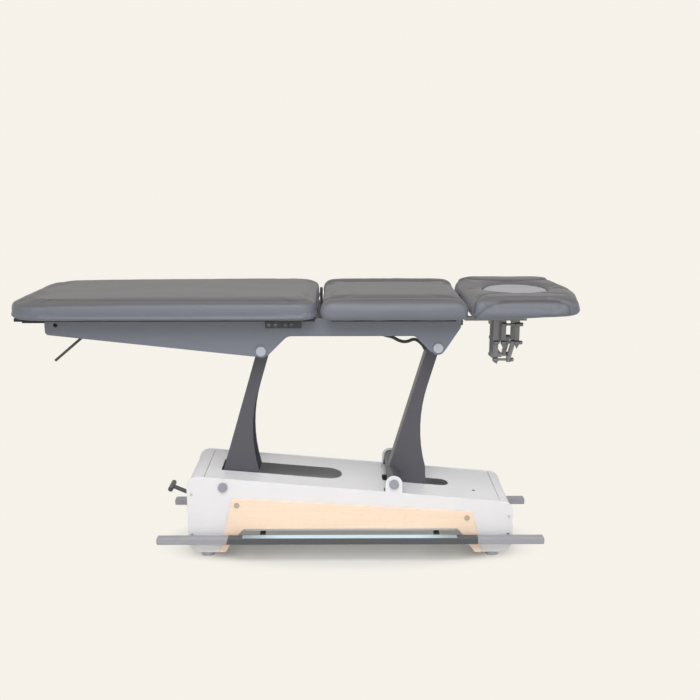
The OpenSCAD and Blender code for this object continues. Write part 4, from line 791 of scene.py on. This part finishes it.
def makeHead():
    x0, x1, y0, y1, z0, z1 = boxOf("head_cushion")
    px0, px1, py0, py1, pz0, pz1 = boxOf("face_plug")
    g = headPad["grow"]
    span = x1 - x0
    fold = [(x0 + along * span, out * y1) for along, out in headPad["foldShares"]]
    seam = [(x0 + along * span, z0 + up * (z1 - z0)) for along, up in headPad["seamShares"]]

    def foldY(x):    # how far out the fold lies at this length
        for (ax, ay), (bx, by) in zip(fold, fold[1:]):
            if x <= bx:
                return ay + (by - ay) * max(x - ax, 0.0) / (bx - ax)
        return fold[-1][1]

    def headShape(place, normal):
        y = abs(place.y)
        up = 0.0
        if place.z > z0 + headPad["foldAbove"]:
            endShare, sideShare = headPad["foldFacing"]
            up = min(max(normal.z, 0.0) + endShare * abs(normal.x) + sideShare * abs(normal.y), 1.0)
        away = lineDistance(place.x, y, fold)
        move = normal * (-headPad["foldDepth"] * hollow(away, headPad["foldWidth"]) * up)
        shade = headPad["foldShade"] * hollow(away, headPad["foldShadeWidth"]) * up
        if y > headPad["seamFrom"]:
            outer = min((y - headPad["seamFrom"]) / headPad["seamBlend"], 1.0)
            near = lineDistance(place.x, place.z, seam)
            move -= normal * headPad["seamDepth"] * hollow(near, headPad["seamWidth"]) * outer
            shade = max(shade, headPad["seamShade"] * hollow(near, headPad["seamShadeWidth"]) * outer)
        beyond = y - foldY(place.x)
        if beyond > 0 and normal.z > 0:
            move.z += headPad["lobeRise"] * min(beyond / headPad["lobeBlend"], 1.0) * normal.z
        fromX, fromY = headPad["bottomFrom"]
        if normal.z < 0.2 and y > fromY:
            along = max(0.0, (place.x - x0 - fromX) / span)
            low = max(0.0, 1 - (place.z - z0) / headPad["bottomHeight"])
            move.z += headPad["bottomRise"] * along * low * min((y - fromY) / headPad["bottomBlend"], 1.0)
        return move + normal * waves(place, headPad["waves"]), shade

    corners = [(x0 + g, y0 + g)]
    radii = [headPad["startRadius"]]
    for shareX, shareY, radius in headPad["ends"]:
        corners.append((x0 + shareX * (span - g), shareY * (y1 - g)))
        radii.append(radius)
    corners.append((x0 + g, y1 - g))
    radii.append(headPad["startRadius"])
    centre = ((px0 + px1) / 2, 0)
    rim = plugPad["gap"]
    halfX, halfY = (px1 - px0) / 2, (py1 - py0) / 2
    hole = ellipseBlock("holeCutter", centre, (halfX + rim, halfY + rim), z0 - 0.02, z1 + 0.02)
    makeCushion("headCushion", ((x0, x1), (y0, y1)), corners, radii, z0, headPad["height"], headPad["edge"],
                headShape, vinylPlain, "head_section", ["head_cushion"], "profile", cutters=[hole])
    bpy.data.objects.remove(hole)

    bm = bmesh.new()
    bmesh.ops.create_circle(bm, cap_ends=True, segments=plugPad["segments"], radius=1)
    bmesh.ops.scale(bm, verts=bm.verts[:], vec=(halfX - rim, halfY - rim, 1))
    bmesh.ops.translate(bm, verts=bm.verts[:], vec=(centre[0], 0, z0))
    face = bm.faces[:][0]
    for i, (up, inset) in enumerate(plugPad["steps"]):
        ring = bmesh.ops.extrude_face_region(bm, geom=[face])["geom"]
        moved = [v for v in ring if isinstance(v, bmesh.types.BMVert)]
        if i:
            bmesh.ops.delete(bm, geom=[face], context="FACES_ONLY")
        face = [f for f in ring if isinstance(f, bmesh.types.BMFace)][0]
        wide = max(v.co.x for v in moved) - centre[0]
        bmesh.ops.scale(bm, verts=moved, vec=(1 - inset / wide, 1 - inset / wide, 1),
                        space=Matrix.Translation((-centre[0], 0, 0)))
        bmesh.ops.translate(bm, verts=moved, vec=(0, 0, up))
    bmesh.ops.recalc_face_normals(bm, faces=bm.faces[:])
    plug = finishObject(bm, "facePlug", plugVinyl)
    remesh = plug.modifiers.new("remesh", "REMESH")
    remesh.mode = "VOXEL"
    remesh.voxel_size = plugPad["voxel"]
    applyModifiers(plug)

    def plugShape(place, normal):
        bend = plugPad["grooveBend"] * (place.x - centre[0]) ** 2
        line = hollow(place.y - plugPad["grooveY"] - bend, plugPad["grooveWidth"]) * max(normal.z, 0)
        rimShare = math.hypot((place.x - centre[0]) / halfX, place.y / halfY)
        rimShade = clamp((rimShare - plugPad["rimFrom"]) / plugPad["rimReach"])
        move = normal * (waves(place, plugPad["wave"]) - plugPad["grooveDepth"] * line)
        return move, max(plugPad["grooveShade"] * line, plugPad["rimShade"] * rimShade)

    creases(plug, plugShape)
    finishPad(plug, plugVinyl)
    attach(plug, "face_plug")
    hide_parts("face_plug")


makeHead()
print("head cushion and face plug ready")


def makeConduit():
    bm = bmesh.new()
    bm.from_mesh(nodes["cable_conduit"].data)
    bmesh.ops.remove_doubles(bm, verts=bm.verts[:], dist=0.00002)
    tube = finishObject(bm, "ribbedConduit", finishes["plasticBlack"])
    sub = tube.modifiers.new("subdivision", "SUBSURF")
    sub.levels = 1
    sub.render_levels = 1
    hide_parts("cable_conduit")
    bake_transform(tube)


# pale signs on the four buttons: two arrows, then two tables with one end lifted
icon = {"size": 0.0052, "radius": 0.00325, "thick": 0.0003, "barShape": (0.9, 0.24, 1)}


def turnVerts(bm, verts, degrees, axis):
    bmesh.ops.rotate(bm, verts=verts, cent=(0, 0, 0), matrix=Matrix.Rotation(math.radians(degrees), 3, axis))


def makeIcon(name, node, shapes):
    x0, x1, y0, y1, z0, z1 = boxOf(node)
    middle = Vector(((x0 + x1) / 2, y0, (z0 + z1) / 2))
    bm = bmesh.new()
    for kind, turn, shift in shapes:
        sides = 3 if kind == "arrow" else 4
        made = bmesh.ops.create_circle(bm, cap_ends=True, segments=sides, radius=icon["radius"])["verts"]
        if kind == "bar":
            turnVerts(bm, made, 45, "Z")    # a square with level sides
            bmesh.ops.scale(bm, verts=made, vec=icon["barShape"])
        turnVerts(bm, made, turn, "Z")
        bmesh.ops.translate(bm, verts=made, vec=(shift[0] * icon["size"], shift[1] * icon["size"], 0))
    bmesh.ops.solidify(bm, geom=bm.faces[:], thickness=icon["thick"])
    turnVerts(bm, bm.verts[:], 90, "X")
    out = max(v.co.y for v in bm.verts)
    bmesh.ops.translate(bm, verts=bm.verts[:], vec=middle - Vector((0, out, 0)))
    bmesh.ops.recalc_face_normals(bm, faces=bm.faces[:])
    sign = finishObject(bm, name, finishes["iconPale"], smooth=False)
    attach(sign, node)


makeIcon("upSign", "up_button", [("arrow", 0, (0, 0))])
makeIcon("downSign", "down_button", [("arrow", 180, (0, 0))])
makeIcon("legSign", "leg_button", [("bar", 0, (0.35, 0)), ("bar", 35, (-0.45, -0.32))])
makeIcon("headSign", "head_button", [("bar", 0, (-0.35, 0)), ("bar", 35, (0.45, 0.32))])
makeConduit()
print("signs and conduit ready")
